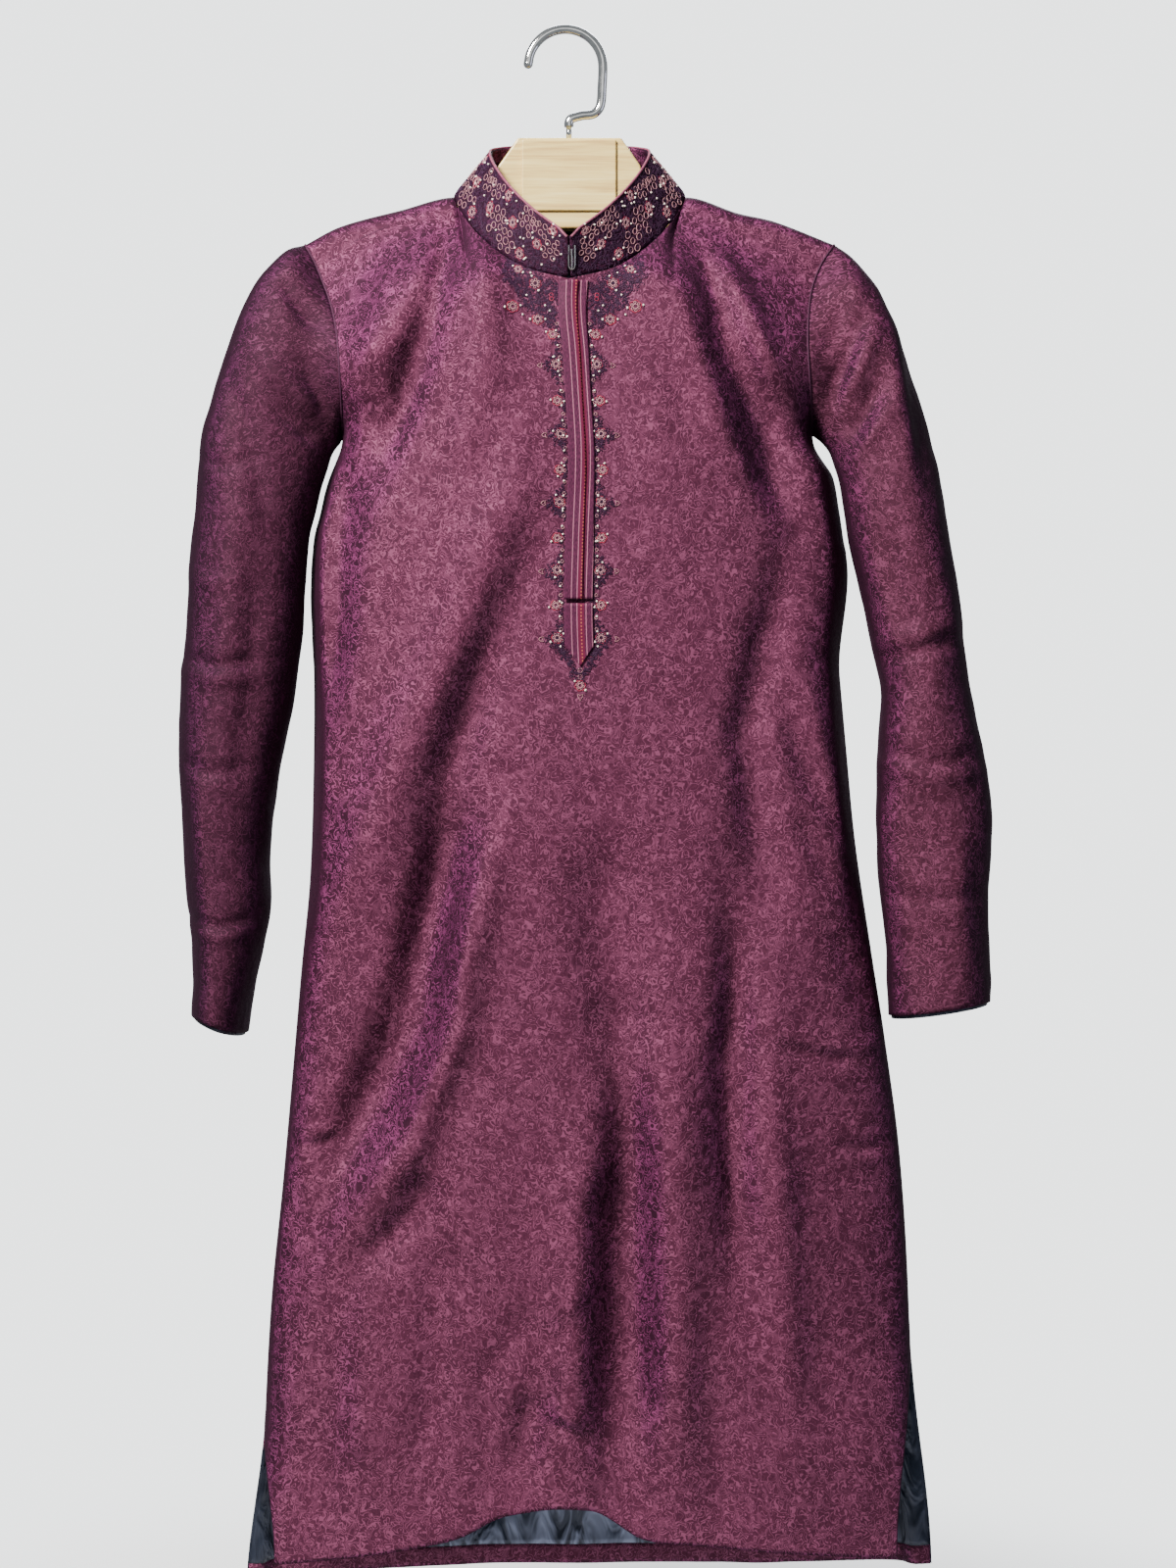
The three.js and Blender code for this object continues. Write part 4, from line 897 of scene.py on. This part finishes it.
# the sleeves take darker copies of the jacquard, the left one darkest: painted shade
painted_shade_sleeve_plums = {
    "left": jacquard("plum_jacquard_left_sleeve_painted_shade", "#2a0f1f", "#422032", "#552b44", "#160815",
                     "#5d2554", 57.0),
    "right": jacquard("plum_jacquard_right_sleeve_painted_shade", "#381629", "#582e40", "#6f3c58", "#1b0a18",
                      "#82386e", 83.0)}
plum_collar = jacquard("plum_jacquard_collar", "#260c20", "#341629", "#3e1c36", "#1c0a1a",
                       "#4c2046", 31.0)
lining = satin_lining()
braid = striped_ribbon()
violet_thread = spun_thread("navy_violet_rayon_thread", "#240e28", "#3e1f40", 0.6)
rose_thread = spun_thread("rose_rayon_thread", "#9c6b78", "#cc9ca6")
red_thread = spun_thread("crimson_rayon_thread", "#8c1f40", "#b83855")
# dark plum cords for the seams: painted seam shadow
painted_seam_shade = spun_thread("plum_seam_painted_shade", "#2f1328", "#4a2240", 0.7)
folded_edge = spun_thread("plum_folded_edge", "#6f3352", "#96586f", 0.6, 1.4)
glass_bead = pearl_glass()
poplar = pale_wood()
chrome = plated("polished_chrome", "#c4c8cb", 0.05)
nickel = plated("bright_nickel", "#b9b6b0", 0.16)


# ---------------------------------------- panels, sleeves and collar
# where each piece was cut, in metres across the cloth, so that no two show the same figure
CUT_AT = {"back": 0.7, "facing": 0.35, "left": 1.4, "right": 2.1}

front = cloth("front_cloth", front_grid, plum, lining, CLOTH, flat_places(front_grid))
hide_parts("front")
back = cloth("back_cloth", back_grid, plum, lining, CLOTH,
             flat_places(back_grid) + [CUT_AT["back"], 0])
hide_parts("back")
for side, grid in sleeve_grids.items():
    flat = tube_places(grid) + [CUT_AT[side], 0]
    cloth("sleeve_%s_cloth" % side, grid, painted_shade_sleeve_plums[side], lining,
                          CLOTH, flat, tube=True)
    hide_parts("sleeve_" + side)


COLLAR_COLUMNS = 200
CORNER = {"columns": 6, "drop": 2.4}       # the collar's rounded front corners


def round_collar(opening, columns):
    """Angles round the collar from one side of its front opening to the other, with the direction
    in which the collar rises at each, and how near a front corner it lies. The opening is half
    its width in degrees."""
    angles = np.linspace(180 + opening, 540 - opening, columns)
    angles = np.where(angles > 270, angles - 360, angles)
    steps = from_ends(columns) * COLLAR_COLUMNS / columns
    rise = unit(collar_point(angles, 1.0) - collar_point(angles, 0.0))
    return angles, rise, smooth((CORNER["columns"] - steps) / CORNER["columns"]) ** 2


def collar_grid():
    """The band collar's outside, from its top edge down, open at the front with rounded corners."""
    angles, rise, corner = round_collar(1.2, COLLAR_COLUMNS)
    heights = np.linspace(1, 0, 15)[:, None]
    grid = collar_point(angles[None, :], heights)
    lift = 2 * SEAM_GAP - CORNER["drop"] * corner[None, :] * heights ** 4
    return grid + rise[None] * lift[..., None]


collar_outside = collar_grid()
collar = cloth("collar_band", collar_outside, plum_collar, plum, COLLAR_WALL,
               flat_places(collar_outside, start=0.0))
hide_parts("collar")

# ---------------------------------------- pieces laid on the panels
front_surface = Surface(front_grid)


def neck_share(angle):
    """How far across the front a place on the neckline lies, from 0 at the left shoulder to 1."""
    return (collar_point(angle, 0.0)[0] - RIDGE["x"][0]) / (RIDGE["x"][-1] - RIDGE["x"][0])


def front_line(share, downs):
    """Where a thread of the front's length-wise weave lies at some distances down."""
    top_x = front_grid[0, :, 0]
    shares = (top_x - top_x[0]) / (top_x[-1] - top_x[0])
    i = int(np.clip(np.searchsorted(shares, share) - 1, 0, len(shares) - 2))
    t = (share - shares[i]) / (shares[i + 1] - shares[i])
    column = mix(front_grid[:, i], front_grid[:, i + 1], t)
    return np.interp(downs, -column[:, 2], column[:, 0])


# the placket's left edge, middle and right edge on the neckline, and its bands between them
NECK_SHARES = [neck_share(angle) for angle in (172, 183, 191)]
BAND = {"left": mix(*NECK_SHARES[:2], 0.2), "under_left": mix(*NECK_SHARES[:2], 0.6),
        "overlap": mix(*NECK_SHARES[1:], 0.3), "right": mix(*NECK_SHARES[1:], 1.05)}
PLACKET = {"top": 203, "end": 445, "point": 478, "tip": 493, "lift": 0.6, "rows": 2}


def band_grid(left, right, downs, columns, lift, narrow=None):
    """Points of a band lying on the front, narrowed by a share at each row where it is pointed."""
    x_left, x_right = front_line(BAND[left], downs), front_line(BAND[right], downs)
    if narrow is not None:
        middle = (x_left + x_right) / 2
        x_left, x_right = mix(middle, x_left, narrow), mix(middle, x_right, narrow)
    t = np.linspace(0, 1, columns)
    x = mix(x_left[:, None], x_right[:, None], t[None, :])
    return front_surface.grid(x, np.repeat(downs[:, None], columns, axis=1), lift)


def band(name, node_name, left, right, downs, lift, narrow=None):
    """A band of braid lying on the front, its stripes measured from the placket's left edge."""
    grid = band_grid(left, right, downs, 15, lift + THIN, narrow)
    edge = front_line(BAND["left"], downs)
    across = grid[..., 0] - edge[:, None]
    flat = np.stack([across, np.broadcast_to(downs[:, None], across.shape)], axis=-1) * MM
    piece = cloth(name, grid, braid, braid, THIN, flat)
    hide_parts(node_name)
    return piece


lift = PLACKET["lift"]
downs = np.arange(PLACKET["top"], PLACKET["end"], PLACKET["rows"], float)
placket_under = band("placket_under_band", "placket_under", "under_left", "right", downs, lift)
placket_over = band("placket_over_band", "placket_over", "left", "overlap", downs,
                    lift + THIN + SEAM_GAP)
downs = np.concatenate([np.linspace(PLACKET["end"] + 1, PLACKET["point"], 14),
                        np.linspace(PLACKET["point"], PLACKET["tip"], 9)[1:]])
narrow = np.clip((PLACKET["tip"] - downs) / (PLACKET["tip"] - PLACKET["point"]), 0.02, 1)
placket_end = band("placket_end_band", "placket_end", "left", "right", downs, lift, narrow)


LINING_COLUMNS = 121


def inside_back(first_row, last_row, inset):
    """A layer inside the back panel between two rows, a little short of its side edges."""
    grid = back_grid - grid_normals(back_grid, False) * (CLOTH + 2 * SEAM_GAP)
    rows = grid[first_row:last_row + 1]
    columns = np.linspace(inset, grid.shape[1] - 1 - inset, LINING_COLUMNS)
    low = np.floor(columns).astype(int)
    t = (columns - low)[None, :, None]
    return mix(rows[:, low], rows[:, np.minimum(low + 1, grid.shape[1] - 1)], t)


# the lining shows from a little above the slits down to the hem's facing
LINING_ROW = ARMHOLE_STEPS + round(LOWER_ROWS * 0.692)
FACING_ROW = ARMHOLE_STEPS + round(LOWER_ROWS * 0.984)
lining_grid = inside_back(LINING_ROW, FACING_ROW, 1.5)
x, down = lining_grid[..., 0], -lining_grid[..., 2]
satin_folds = [(2.4, 5, [(-238, 1010), (-232, 1080), (-236, 1160)]),
               (2.0, 4, [(258, 1020), (262, 1090), (268, 1160)]),
               (3.0, 8, [(-60, 1000), (-40, 1090), (-52, 1165)]),
               (3.2, 7, [(20, 1000), (34, 1100), (22, 1165)]),
               (2.6, 9, [(-130, 1010), (-140, 1165)]), (2.8, 8, [(110, 1000), (96, 1165)])]
wrinkle = fold_height(satin_folds, x, down) + flutter(lining_grid, 26, 1.6, 4.4) + 1.2
wrinkle = np.maximum(wrinkle, 0) * smooth(from_ends(LINING_COLUMNS) / 6)[None, :]
lining_grid = lining_grid - grid_normals(lining_grid, False) * wrinkle[..., None]
back_lining = cloth("back_lining_satin", lining_grid, lining, lining, THIN,
                    flat_places(lining_grid))
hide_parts("back_lining")
facing_grid = inside_back(FACING_ROW, len(back_grid) - 1, 1.0)
back_facing = cloth("back_hem_facing_cloth", facing_grid, plum, plum, THIN,
                    flat_places(facing_grid) + [CUT_AT["facing"], 0])
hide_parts("back_hem_facing")

CUFF_LINING = (14, 9, 4, 0, -2.5)       # heights of its rings above the sleeve's hem
for side, grid in sleeve_grids.items():
    hem = grid[-1] - grid_normals(grid, True)[-1] * (CLOTH + SEAM_GAP)
    upward = unit(grid[-4] - grid[-1])
    ring = np.stack([hem + upward * up for up in CUFF_LINING])
    cloth("cuff_lining_%s_satin" % side, ring, lining, lining, THIN,
                        tube_places(ring), tube=True)
    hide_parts("cuff_lining_" + side)


# ---------------------------------------- embroidery
# Every stitch is a cord laid on the cloth. Places are (x, down) on the front, and on the collar
# (turn, height). A fixed seed keeps the hand-guided unevenness the same each time.
hand = np.random.default_rng(7)


def on_front(x, down, lift):
    return (0, x, down, lift)


def on_collar(turn, height, lift):
    """turn runs in millimetres round the collar from its opening, to the right if positive."""
    return (1, turn, height, lift)


ROUND_DEGREES = 0.84         # a millimetre round the collar
NECK_MIDDLE_Y = -18


def settled(spots):
    """Places of stitches in space: (surface, a, b, lift) lifted off the front or the collar."""
    spots = np.array(spots, float)
    places = np.empty((len(spots), 3))
    for k in np.nonzero(spots[:, 0] == 0)[0]:
        places[k] = front_surface.at(*spots[k, 1:])
    collar_rows = spots[:, 0] == 1
    if collar_rows.any():
        turn, height, lift = spots[collar_rows, 1:].T
        angle = 180 + turn * ROUND_DEGREES
        place = collar_point(angle, height)
        step = collar_point(angle + 0.5, height) - collar_point(angle - 0.5, height)
        rise = unit(collar_point(angle, height + 0.02) - collar_point(angle, height - 0.02))
        normal = unit(np.cross(step, rise))
        outward = (place - [NECK_X, NECK_MIDDLE_Y, 0]) * [1, 1, 0]
        normal *= np.where((normal * outward).sum(axis=1) < 0, -1, 1)[:, None]
        places[collar_rows] = place + rise * 2 * SEAM_GAP + normal * lift[:, None]
    return places


stitches = {"ring": [], "petal": [], "outline": [], "scribble": [], "bead": []}
LIFT = {"outline": 0.2, "scribble": 0.3, "ring": 0.35, "petal": 0.45, "bead": 0.5}


def loop(lay, a, b, radius, turns, lift):
    """Places on a circle, at some angles."""
    return [lay(a + radius * math.cos(t), b + radius * math.sin(t), lift) for t in turns]


def bead(lay, a, b):
    stitches["bead"].append(lay(a, b, LIFT["bead"]))


def ring(lay, a, b, radius, kind="ring", points=10, lift=LIFT["ring"]):
    """A ring of thread, turned by hand to start anywhere."""
    turns = np.linspace(0, 2 * math.pi, points, endpoint=False) + hand.uniform(0, 1)
    stitches[kind].append(loop(lay, a, b, radius, turns, lift))


# parts of a flower, as shares of its radius
FLOWER = {"petals": 0.72, "petal": 0.25, "middle": 0.46, "outline": 1.12, "beads": 1.55}


def flower(lay, a, b, radius, tilt=0.0, beads=2):
    """Six petals round a dark middle, a red outline behind them, and pearl beads beside it."""
    turn = np.linspace(0, 2 * math.pi, 30, endpoint=False)
    lobed = radius * (0.88 + 0.2 * np.abs(np.cos(3 * (turn + tilt)))) * FLOWER["outline"]
    stitches["outline"].append([lay(a + r * math.cos(t), b + r * math.sin(t), LIFT["outline"])
                                for r, t in zip(lobed, turn)])
    sixths = np.linspace(0, 2 * math.pi, 6, endpoint=False)
    middles = loop(lambda *place: place, a, b, FLOWER["petals"] * radius, tilt + sixths, 0)
    stitches["petal"] += [loop(lay, *middle[:2], FLOWER["petal"] * radius, sixths, LIFT["petal"])
                          for middle in middles]
    ring(lay, a, b, FLOWER["middle"] * radius, "petal", 9, LIFT["petal"])
    turns = tilt + (0.4 + 2.3 * np.arange(beads)) * 1.35
    stitches["bead"] += loop(lay, a, b, FLOWER["beads"] * radius, turns, LIFT["bead"])


def scribble(lay, a, b, step=1.25):
    """One meander of the dark ground stitch, near a place."""
    a, b = a + hand.uniform(-0.5, 0.5), b + hand.uniform(-0.5, 0.5)
    heading = hand.uniform(0, 2 * math.pi)
    bend = hand.choice([-1, 1]) * hand.uniform(1.1, 1.7)
    path = [(a, b)]
    for k in range(4):
        heading += bend * (1 if k < 2 else -1)
        a, b = a + step * math.cos(heading), b + step * math.sin(heading)
        path.append((a, b))
    stitches["scribble"].append([lay(p, q, LIFT["scribble"]) for p, q in path])


def inside(shape, x, y):
    """Whether a place lies within an outline: an odd number of its sides lie beyond it."""
    found = False
    for (x0, y0), (x1, y1) in zip(shape, shape[1:] + shape[:1]):
        if (y0 > y) != (y1 > y) and x < (x1 - x0) * (y - y0) / (y1 - y0) + x0:
            found = not found
    return found


GROUND_SPACING = 1.5
YOKE_SPACING = 1.55


def ground(lay, shape, spacing=GROUND_SPACING):
    """Fills an outline with dark meanders, started this far apart."""
    points = np.array(shape)
    (x0, y0), (x1, y1) = points.min(axis=0), points.max(axis=0)
    for y in np.arange(y0, y1, spacing):
        for x in np.arange(x0, x1, spacing):
            if inside(shape, x, y):
                scribble(lay, x, y)


# beside the placket: pointed patches with flowers, alternating with small flowers
def placket_x(side, down):
    """The placket's edge on one side."""
    return float(front_line(BAND["left" if side < 0 else "right"], down))


PATCH = [(9.5, 5), (4.5, 11), (0.6, 16)]    # half a pointed patch, out from the placket and down
WIDE = [267.5, 320, 371, 422, 473]          # how far down the pointed patches lie
NARROW = [244, 294, 346, 397, 447.5]        # and the small flowers between them
for side in (-1, 1):
    for down in WIDE:
        edge = placket_x(side, down)
        tip = edge + side * (15.5 if down < 470 else 13)
        lower = [(tip, down)] + [(edge + side * out, down + low) for out, low in PATCH]
        patch = [(x, 2 * down - low) for x, low in lower[:0:-1]] + lower
        ground(on_front, patch)
        flower(on_front, edge + side * 5.6, down - 1, 3.7, 0.3 + down, 3)
        apex = edge + side * 17.2
        stitches["ring"].append([on_front(apex + side * u, down + w, LIFT["ring"]) for u, w in
                                 ((2.4, 0), (1.0, -1.3), (-1.4, -1.9), (-0.4, 0), (-1.4, 1.9),
                                  (1.0, 1.3))])
    for down in NARROW:
        edge = placket_x(side, down)
        flower(on_front, edge + side * 6.2, down, 3.3, 0.9 + down, 2)
        ground(on_front, [(edge + side * 0.6, down - 8), (edge + side * 3.6, down - 6),
                          (edge + side * 3.6, down + 6), (edge + side * 0.6, down + 8)])
    for down in np.arange(236, 480, 8.5):
        edge = placket_x(side, down)
        ring(on_front, edge + side * hand.uniform(2.0, 2.6), down, 1.15)
    for down in np.arange(238, 482, 11.3):
        edge = placket_x(side, down)
        bead(on_front, edge + side * 3.0, down + 3.2)

# the yoke patches under the collar, stepped down towards the placket
YOKE_LEFT = [(-47, 183), (-49, 197), (-46, 206), (-37, 212), (-36, 221), (-27, 227), (-20, 236),
             (-11, 240), (-7.5, 232), (-7, 206), (-20, 199), (-34, 190)]
YOKE_MIRROR = 9.5                        # twice the placket's middle


def on_yoke(side, x):
    """A place on the left yoke patch, or the like one on the right."""
    return x if side < 0 else YOKE_MIRROR - x


for side in (-1, 1):
    ground(on_front, [(on_yoke(side, x), down) for x, down in YOKE_LEFT], YOKE_SPACING)
    for x, down, size in ((-24.5, 205, 3.9), (-41.5, 223, 3.9), (-22.5, 232.5, 3.7),
                          (-37.6, 194, 3.0)):
        flower(on_front, on_yoke(side, x), down, size, x, 3)
    for x, down in ((-12.5, 214), (-12.2, 217)):
        ring(on_front, on_yoke(side, x), down, 1.5, "outline")
    for x, down in ((-31, 214), (-17, 222), (-28, 197), (-13.5, 226), (-34, 229)):
        bead(on_front, on_yoke(side, x), down)

# under the pointed end: two rings, a flower and a drop
tip_x = float(front_line((BAND["left"] + BAND["right"]) / 2, PLACKET["tip"]))
for side in (-1, 1):
    ground(on_front, [(tip_x + side * 12, 478), (tip_x + side * 13, 486), (tip_x + side * 5, 500),
                      (tip_x + side * 1.2, 506), (tip_x + side * 0.5, 498)])
ring(on_front, tip_x, 496.5, 1.7)
ring(on_front, tip_x, 501.5, 1.7)
flower(on_front, tip_x, 508, 3.4, 0.2, 3)
stitches["ring"].append([on_front(tip_x + u, 516 + w, LIFT["ring"]) for u, w in
                         ((0, 3.4), (-1.6, 0.6), (-2.0, -1.6), (0, -0.6), (2.0, -1.6), (1.6, 0.6))])

# the collar: bunches of rings between dark rounds, flowers and beads, alike on both sides
HALF_ROUND = 205        # round one half of the collar
COLLAR_TALL = 36
COLLAR_TOP = 33         # where its embroidery ends
COLLAR_BEADS = 44
BUNCH = {"first": 15, "apart": 23, "rings": 9, "near": 5.4, "far": 9.6}


def collar_side(side):
    """Stitches of one half of the collar, in millimetres round it and up it."""
    return lambda a, b, lift: on_collar(side * a, b / COLLAR_TALL, lift)


for side in (-1, 1):
    lay = collar_side(side)
    middles, blooms = [], []
    for k, turn in enumerate(np.arange(BUNCH["first"], HALF_ROUND, BUNCH["apart"])):
        middles += [(turn, 22 - 6 * (-1) ** k), (turn + BUNCH["apart"] / 2, 8 if k % 2 else 30)]
        blooms += [(turn + 10.5, 20 if k % 2 else 17), (turn - 1, 6 if k % 2 else 31)]
    taken = []
    for k, (turn, tall) in enumerate(middles):
        for ring_no in range(BUNCH["rings"]):
            reach = 0 if ring_no == 0 else BUNCH["near"] if ring_no < 7 else BUNCH["far"]
            out = 2 * math.pi * ring_no / 6 + k + hand.uniform(-0.15, 0.15)
            t, h = turn + reach * math.cos(out), tall + reach * math.sin(out)
            if 2.6 < h < COLLAR_TOP and 4 < t < HALF_ROUND:
                ring(lay, t, h, hand.uniform(1.7, 2.1))
                taken.append((t, h))
    for k, (turn, tall) in enumerate(blooms):
        flower(lay, turn, tall, 3.0, k, 3)
    for _ in range(COLLAR_BEADS):
        bead(lay, hand.uniform(5, HALF_ROUND), hand.uniform(3, COLLAR_TOP))
    for turn in np.arange(3.5, HALF_ROUND, 1.75):
        for tall in np.arange(2.5, 33.5, 1.8):
            if all(math.hypot(t - turn, h - tall) > 2.4 for t, h in taken):
                scribble(lay, turn, tall)

for name, kind, radius, material, cyclic in (
        ("embroidery_rings", "ring", 0.22, rose_thread, True),
        ("embroidery_petals", "petal", 0.25, rose_thread, True),
        ("embroidery_outlines", "outline", 0.28, red_thread, True),
        ("embroidery_ground", "scribble", 0.29, violet_thread, False)):
    paths = stitches[kind]
    places = settled([spot for path in paths for spot in path])
    cuts = np.cumsum([len(path) for path in paths])[:-1]
    thread_piece(name, np.split(places, cuts), radius, material, cyclic=cyclic)

BEAD_RADIUS = 0.8
bm = bmesh.new()
for place in settled(stitches["bead"]):
    bmesh.ops.create_icosphere(bm, subdivisions=2, radius=BEAD_RADIUS * MM,
                               matrix=Matrix.Translation([c * MM for c in place]))
show("embroidery_beads", bm, [glass_bead])

# ---------------------------------------- seams and the collar's folded edge
# dark plum cords along the armhole and shoulder seams: painted seam shadow, and at the armholes they
# also cover the gap between sleeve and panels
seams = []
for column in (0, -1):
    seams.append(front_grid[:ARMHOLE_STEPS + 1, column])
    seams.append(back_grid[:ARMHOLE_STEPS + 1, column])
thread_piece("armhole_seams", seams, 1.1, painted_seam_shade)
SUNK = 0.3         # how deep the shoulder seams and the collar's folded edge lie in the cloth
SHOULDERS = (((-117, 143), (-140, 152), (-166, 164), (-193, 181)),
             ((128, 146), (150, 152), (175, 163), (197, 175)))
shoulders = [settled([on_front(x, down, -SUNK) for x, down in path]) for path in SHOULDERS]
thread_piece("shoulder_seams", shoulders, 0.5, painted_seam_shade)
angles, rise, corner = round_collar(1.6, 240)
above = 2 * SEAM_GAP - SUNK - CORNER["drop"] * corner[:, None]
fold_line = collar_point(angles, 1.0) + rise * above
thread_piece("collar_folded_edge", [fold_line], 1.0, folded_edge, sides=3)


# ---------------------------------------- the hanger
BLOCK = {"back": 9, "front": -7}
BLOCK_OUTLINE = [(-39, 82), (41, 82), (56, 104), (59, 131), (24, 152), (-24, 152), (-59, 131),
                 (-58, 109)]
FACE = {"left": -36, "right": 37, "top": 84, "bottom": 139, "thick": 2.0}
HOOK = {"rod": 3.6, "bend": 29, "centreX": -2.3, "legDown": 56, "stem": 2.1, "stemX": 0.4,
        "stemLong": 9.5, "stemDown": 76.7}


def board(name, outline, back, front, rounding, node_name):
    """A board cut to an outline and rounded over along all its edges."""
    bm = bmesh.new()
    corners = [bm.verts.new((x * MM, back * MM, -down * MM)) for x, down in outline]
    face = bm.faces.new(corners)
    swept = bmesh.ops.extrude_face_region(bm, geom=[face])
    moved = [v for v in swept["geom"] if isinstance(v, bmesh.types.BMVert)]
    bmesh.ops.translate(bm, verts=moved, vec=(0, (front - back) * MM, 0))
    bmesh.ops.recalc_face_normals(bm, faces=bm.faces)
    bmesh.ops.bevel(bm, geom=list(bm.edges), offset=rounding * MM, offset_type="OFFSET",
                    affect="EDGES", segments=3, profile=0.5, material=-1)
    piece = show(name, bm, [poplar])
    piece.data.shade_flat()
    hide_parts(node_name)


board("hanger_block_board", BLOCK_OUTLINE, BLOCK["back"], BLOCK["front"], 1.4, "hanger_block")
face_outline = [(FACE["left"], FACE["top"]), (FACE["right"], FACE["top"]),
                (FACE["right"], FACE["bottom"]), (FACE["left"], FACE["bottom"])]
board("hanger_face_board", face_outline, BLOCK["front"] - SEAM_GAP,
      BLOCK["front"] - SEAM_GAP - FACE["thick"], 1.0, "hanger_face")
for name in ("hanger_arm_left", "hanger_arm_right"):
    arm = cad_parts[name]
    arm.data.materials.clear()
    arm.data.materials.append(poplar)


def hook_path():
    """Most of a circle, a straight leg, and a crook back to the middle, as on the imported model."""
    points = []
    for degrees in range(176, -1, -16):
        angle = math.radians(degrees)
        points.append((HOOK["centreX"] + HOOK["bend"] * math.cos(angle),
                       -HOOK["rod"] + HOOK["bend"] * (1 - math.sin(angle))))
    leg = HOOK["centreX"] + HOOK["bend"]
    low = HOOK["legDown"]
    points += [(leg - 0.5, 40), (leg - 2, low), (leg - 7, low + 6), (10, low + 7.5), (2, low + 10),
               (HOOK["stemX"], low + 13), (HOOK["stemX"], low + 16)]
    return [(x, 0, -down) for x, down in along_path(points, 150)]


rod = hook_path()
hook = thread_piece("hanger_hook_rod", [rod], HOOK["rod"], chrome, sides=8)
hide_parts("hanger_hook")
bm = bmesh.new()
bmesh.ops.create_uvsphere(bm, u_segments=24, v_segments=16, radius=HOOK["rod"] * MM)
bmesh.ops.translate(bm, verts=bm.verts, vec=[c * MM for c in rod[0]])
show("hanger_hook_tip", bm, [chrome])
bm = bmesh.new()
bmesh.ops.create_cone(bm, cap_ends=True, segments=28, radius1=HOOK["stem"] * MM,
                      radius2=HOOK["stem"] * MM, depth=HOOK["stemLong"] * MM)
bmesh.ops.translate(bm, verts=bm.verts, vec=(HOOK["stemX"] * MM, 0, -HOOK["stemDown"] * MM))
stem = show("hanger_stem_pin", bm, [chrome])
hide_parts("hanger_stem")

# ---------------------------------------- the collar's hook and eye
CLASP = {"x": 3, "top": 178, "bottom": 195, "wire": 0.6, "half": 2.2, "collarY": -73.7,
         "lean": 0.29}


def clasp_wire(name, points, proud, node_name):
    """A bent wire lying along the collar's front, proud of it by some millimetres."""
    y = CLASP["collarY"] - proud
    path = [(x, y + (down - CLASP["top"]) * CLASP["lean"], -down)
            for x, down in along_path(points, 40)]
    piece = thread_piece(name, [path], CLASP["wire"], nickel, sides=5)
    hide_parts(node_name)


x, top, bottom, half = CLASP["x"], CLASP["top"], CLASP["bottom"], CLASP["half"]
clasp_wire("collar_eye_wire", [(x - half, top), (x - half, bottom - 2), (x - half + 1, bottom),
                               (x + half - 1, bottom), (x + half, bottom - 2), (x + half, top)],
           CLASP["wire"] + SEAM_GAP, "collar_eye")
clasp_wire("collar_hook_wire", [(x - 0.4, top + 3), (x, (top + bottom) / 2), (x, bottom + 0.6)],
           3 * CLASP["wire"] + 2 * SEAM_GAP, "collar_hook")


# ---------------------------------------- floor, light and camera
FLOOR = {"radius": 2.4, "height": -1.32}
CAMERA = {"place": (0.0152, -2.2, -0.582), "lens": 65.1, "sensor": 36}
SURROUND = {"seen": 3.4, "light": 0.1, "mirrored": 0.3}      # how bright the white surround is

bm = bmesh.new()
bmesh.ops.create_circle(bm, cap_ends=True, segments=96, radius=FLOOR["radius"])
bmesh.ops.translate(bm, verts=bm.verts, vec=(0, 0, FLOOR["height"]))
floor_mesh = bpy.data.meshes.new("studio_floor")
bm.to_mesh(floor_mesh)
bm.free()
floor = bpy.data.objects.new("studio_floor", floor_mesh)
bpy.context.scene.collection.objects.link(floor)
floor_mesh.materials.append(matt_floor())


def area_light(name, place, target, size, power, colour):
    """A softbox at a place, facing a target."""
    lamp = bpy.data.lights.new(name, "AREA")
    lamp.shape = "RECTANGLE"
    lamp.size, lamp.size_y = size
    lamp.energy = power
    lamp.color = linear(colour)[:3]
    holder = bpy.data.objects.new(name, lamp)
    holder.location = place
    holder.rotation_euler = (Vector(target) - Vector(place)).to_track_quat("-Z", "Y").to_euler()
    bpy.context.scene.collection.objects.link(holder)


area_light("key_softbox", (-1.05, -1.35, 0.95), (0, 0, -0.35), (0.5, 0.5), 162, "#fff6ea")
area_light("front_softbox", (0.3, -2.6, 0.4), (0, 0, -0.6), (1.6, 1.0), 6, "#fffaf5")
area_light("side_softbox", (2.4, -0.6, -0.3), (0, 0, -0.6), (0.5, 1.6), 7, "#e9e6ff")
area_light("rear_softbox", (0.3, 2.2, 1.3), (0, 0, -0.5), (1.4, 1.4), 90, "#f5f7ff")

# the studio's white surround: full brightness behind the kurta, dimmer as light on it
world = bpy.data.worlds.new("pale_studio")
world.use_nodes = True
bpy.context.scene.world = world
tree = world.node_tree
seen = node(tree, "MapRange", {"Value": node(tree, "LightPath", give="Is Camera Ray"),
                               "To Min": SURROUND["light"], "To Max": SURROUND["seen"]})
glossy = node(tree, "LightPath", give="Is Glossy Ray")
strength = node(tree, "Math MULTIPLY_ADD", [glossy, SURROUND["mirrored"], seen])
feed(tree, tree.nodes["Background"], {"Strength": strength, "Color": linear("#e6e9ea")})

camera = bpy.data.cameras.new("camera")
camera.sensor_fit = "VERTICAL"
camera.sensor_height = CAMERA["sensor"]
camera.lens = CAMERA["lens"]
holder = bpy.data.objects.new("camera", camera)
holder.location = CAMERA["place"]
holder.rotation_euler = (math.pi / 2, 0, 0)
bpy.context.scene.collection.objects.link(holder)
bpy.context.scene.camera = holder
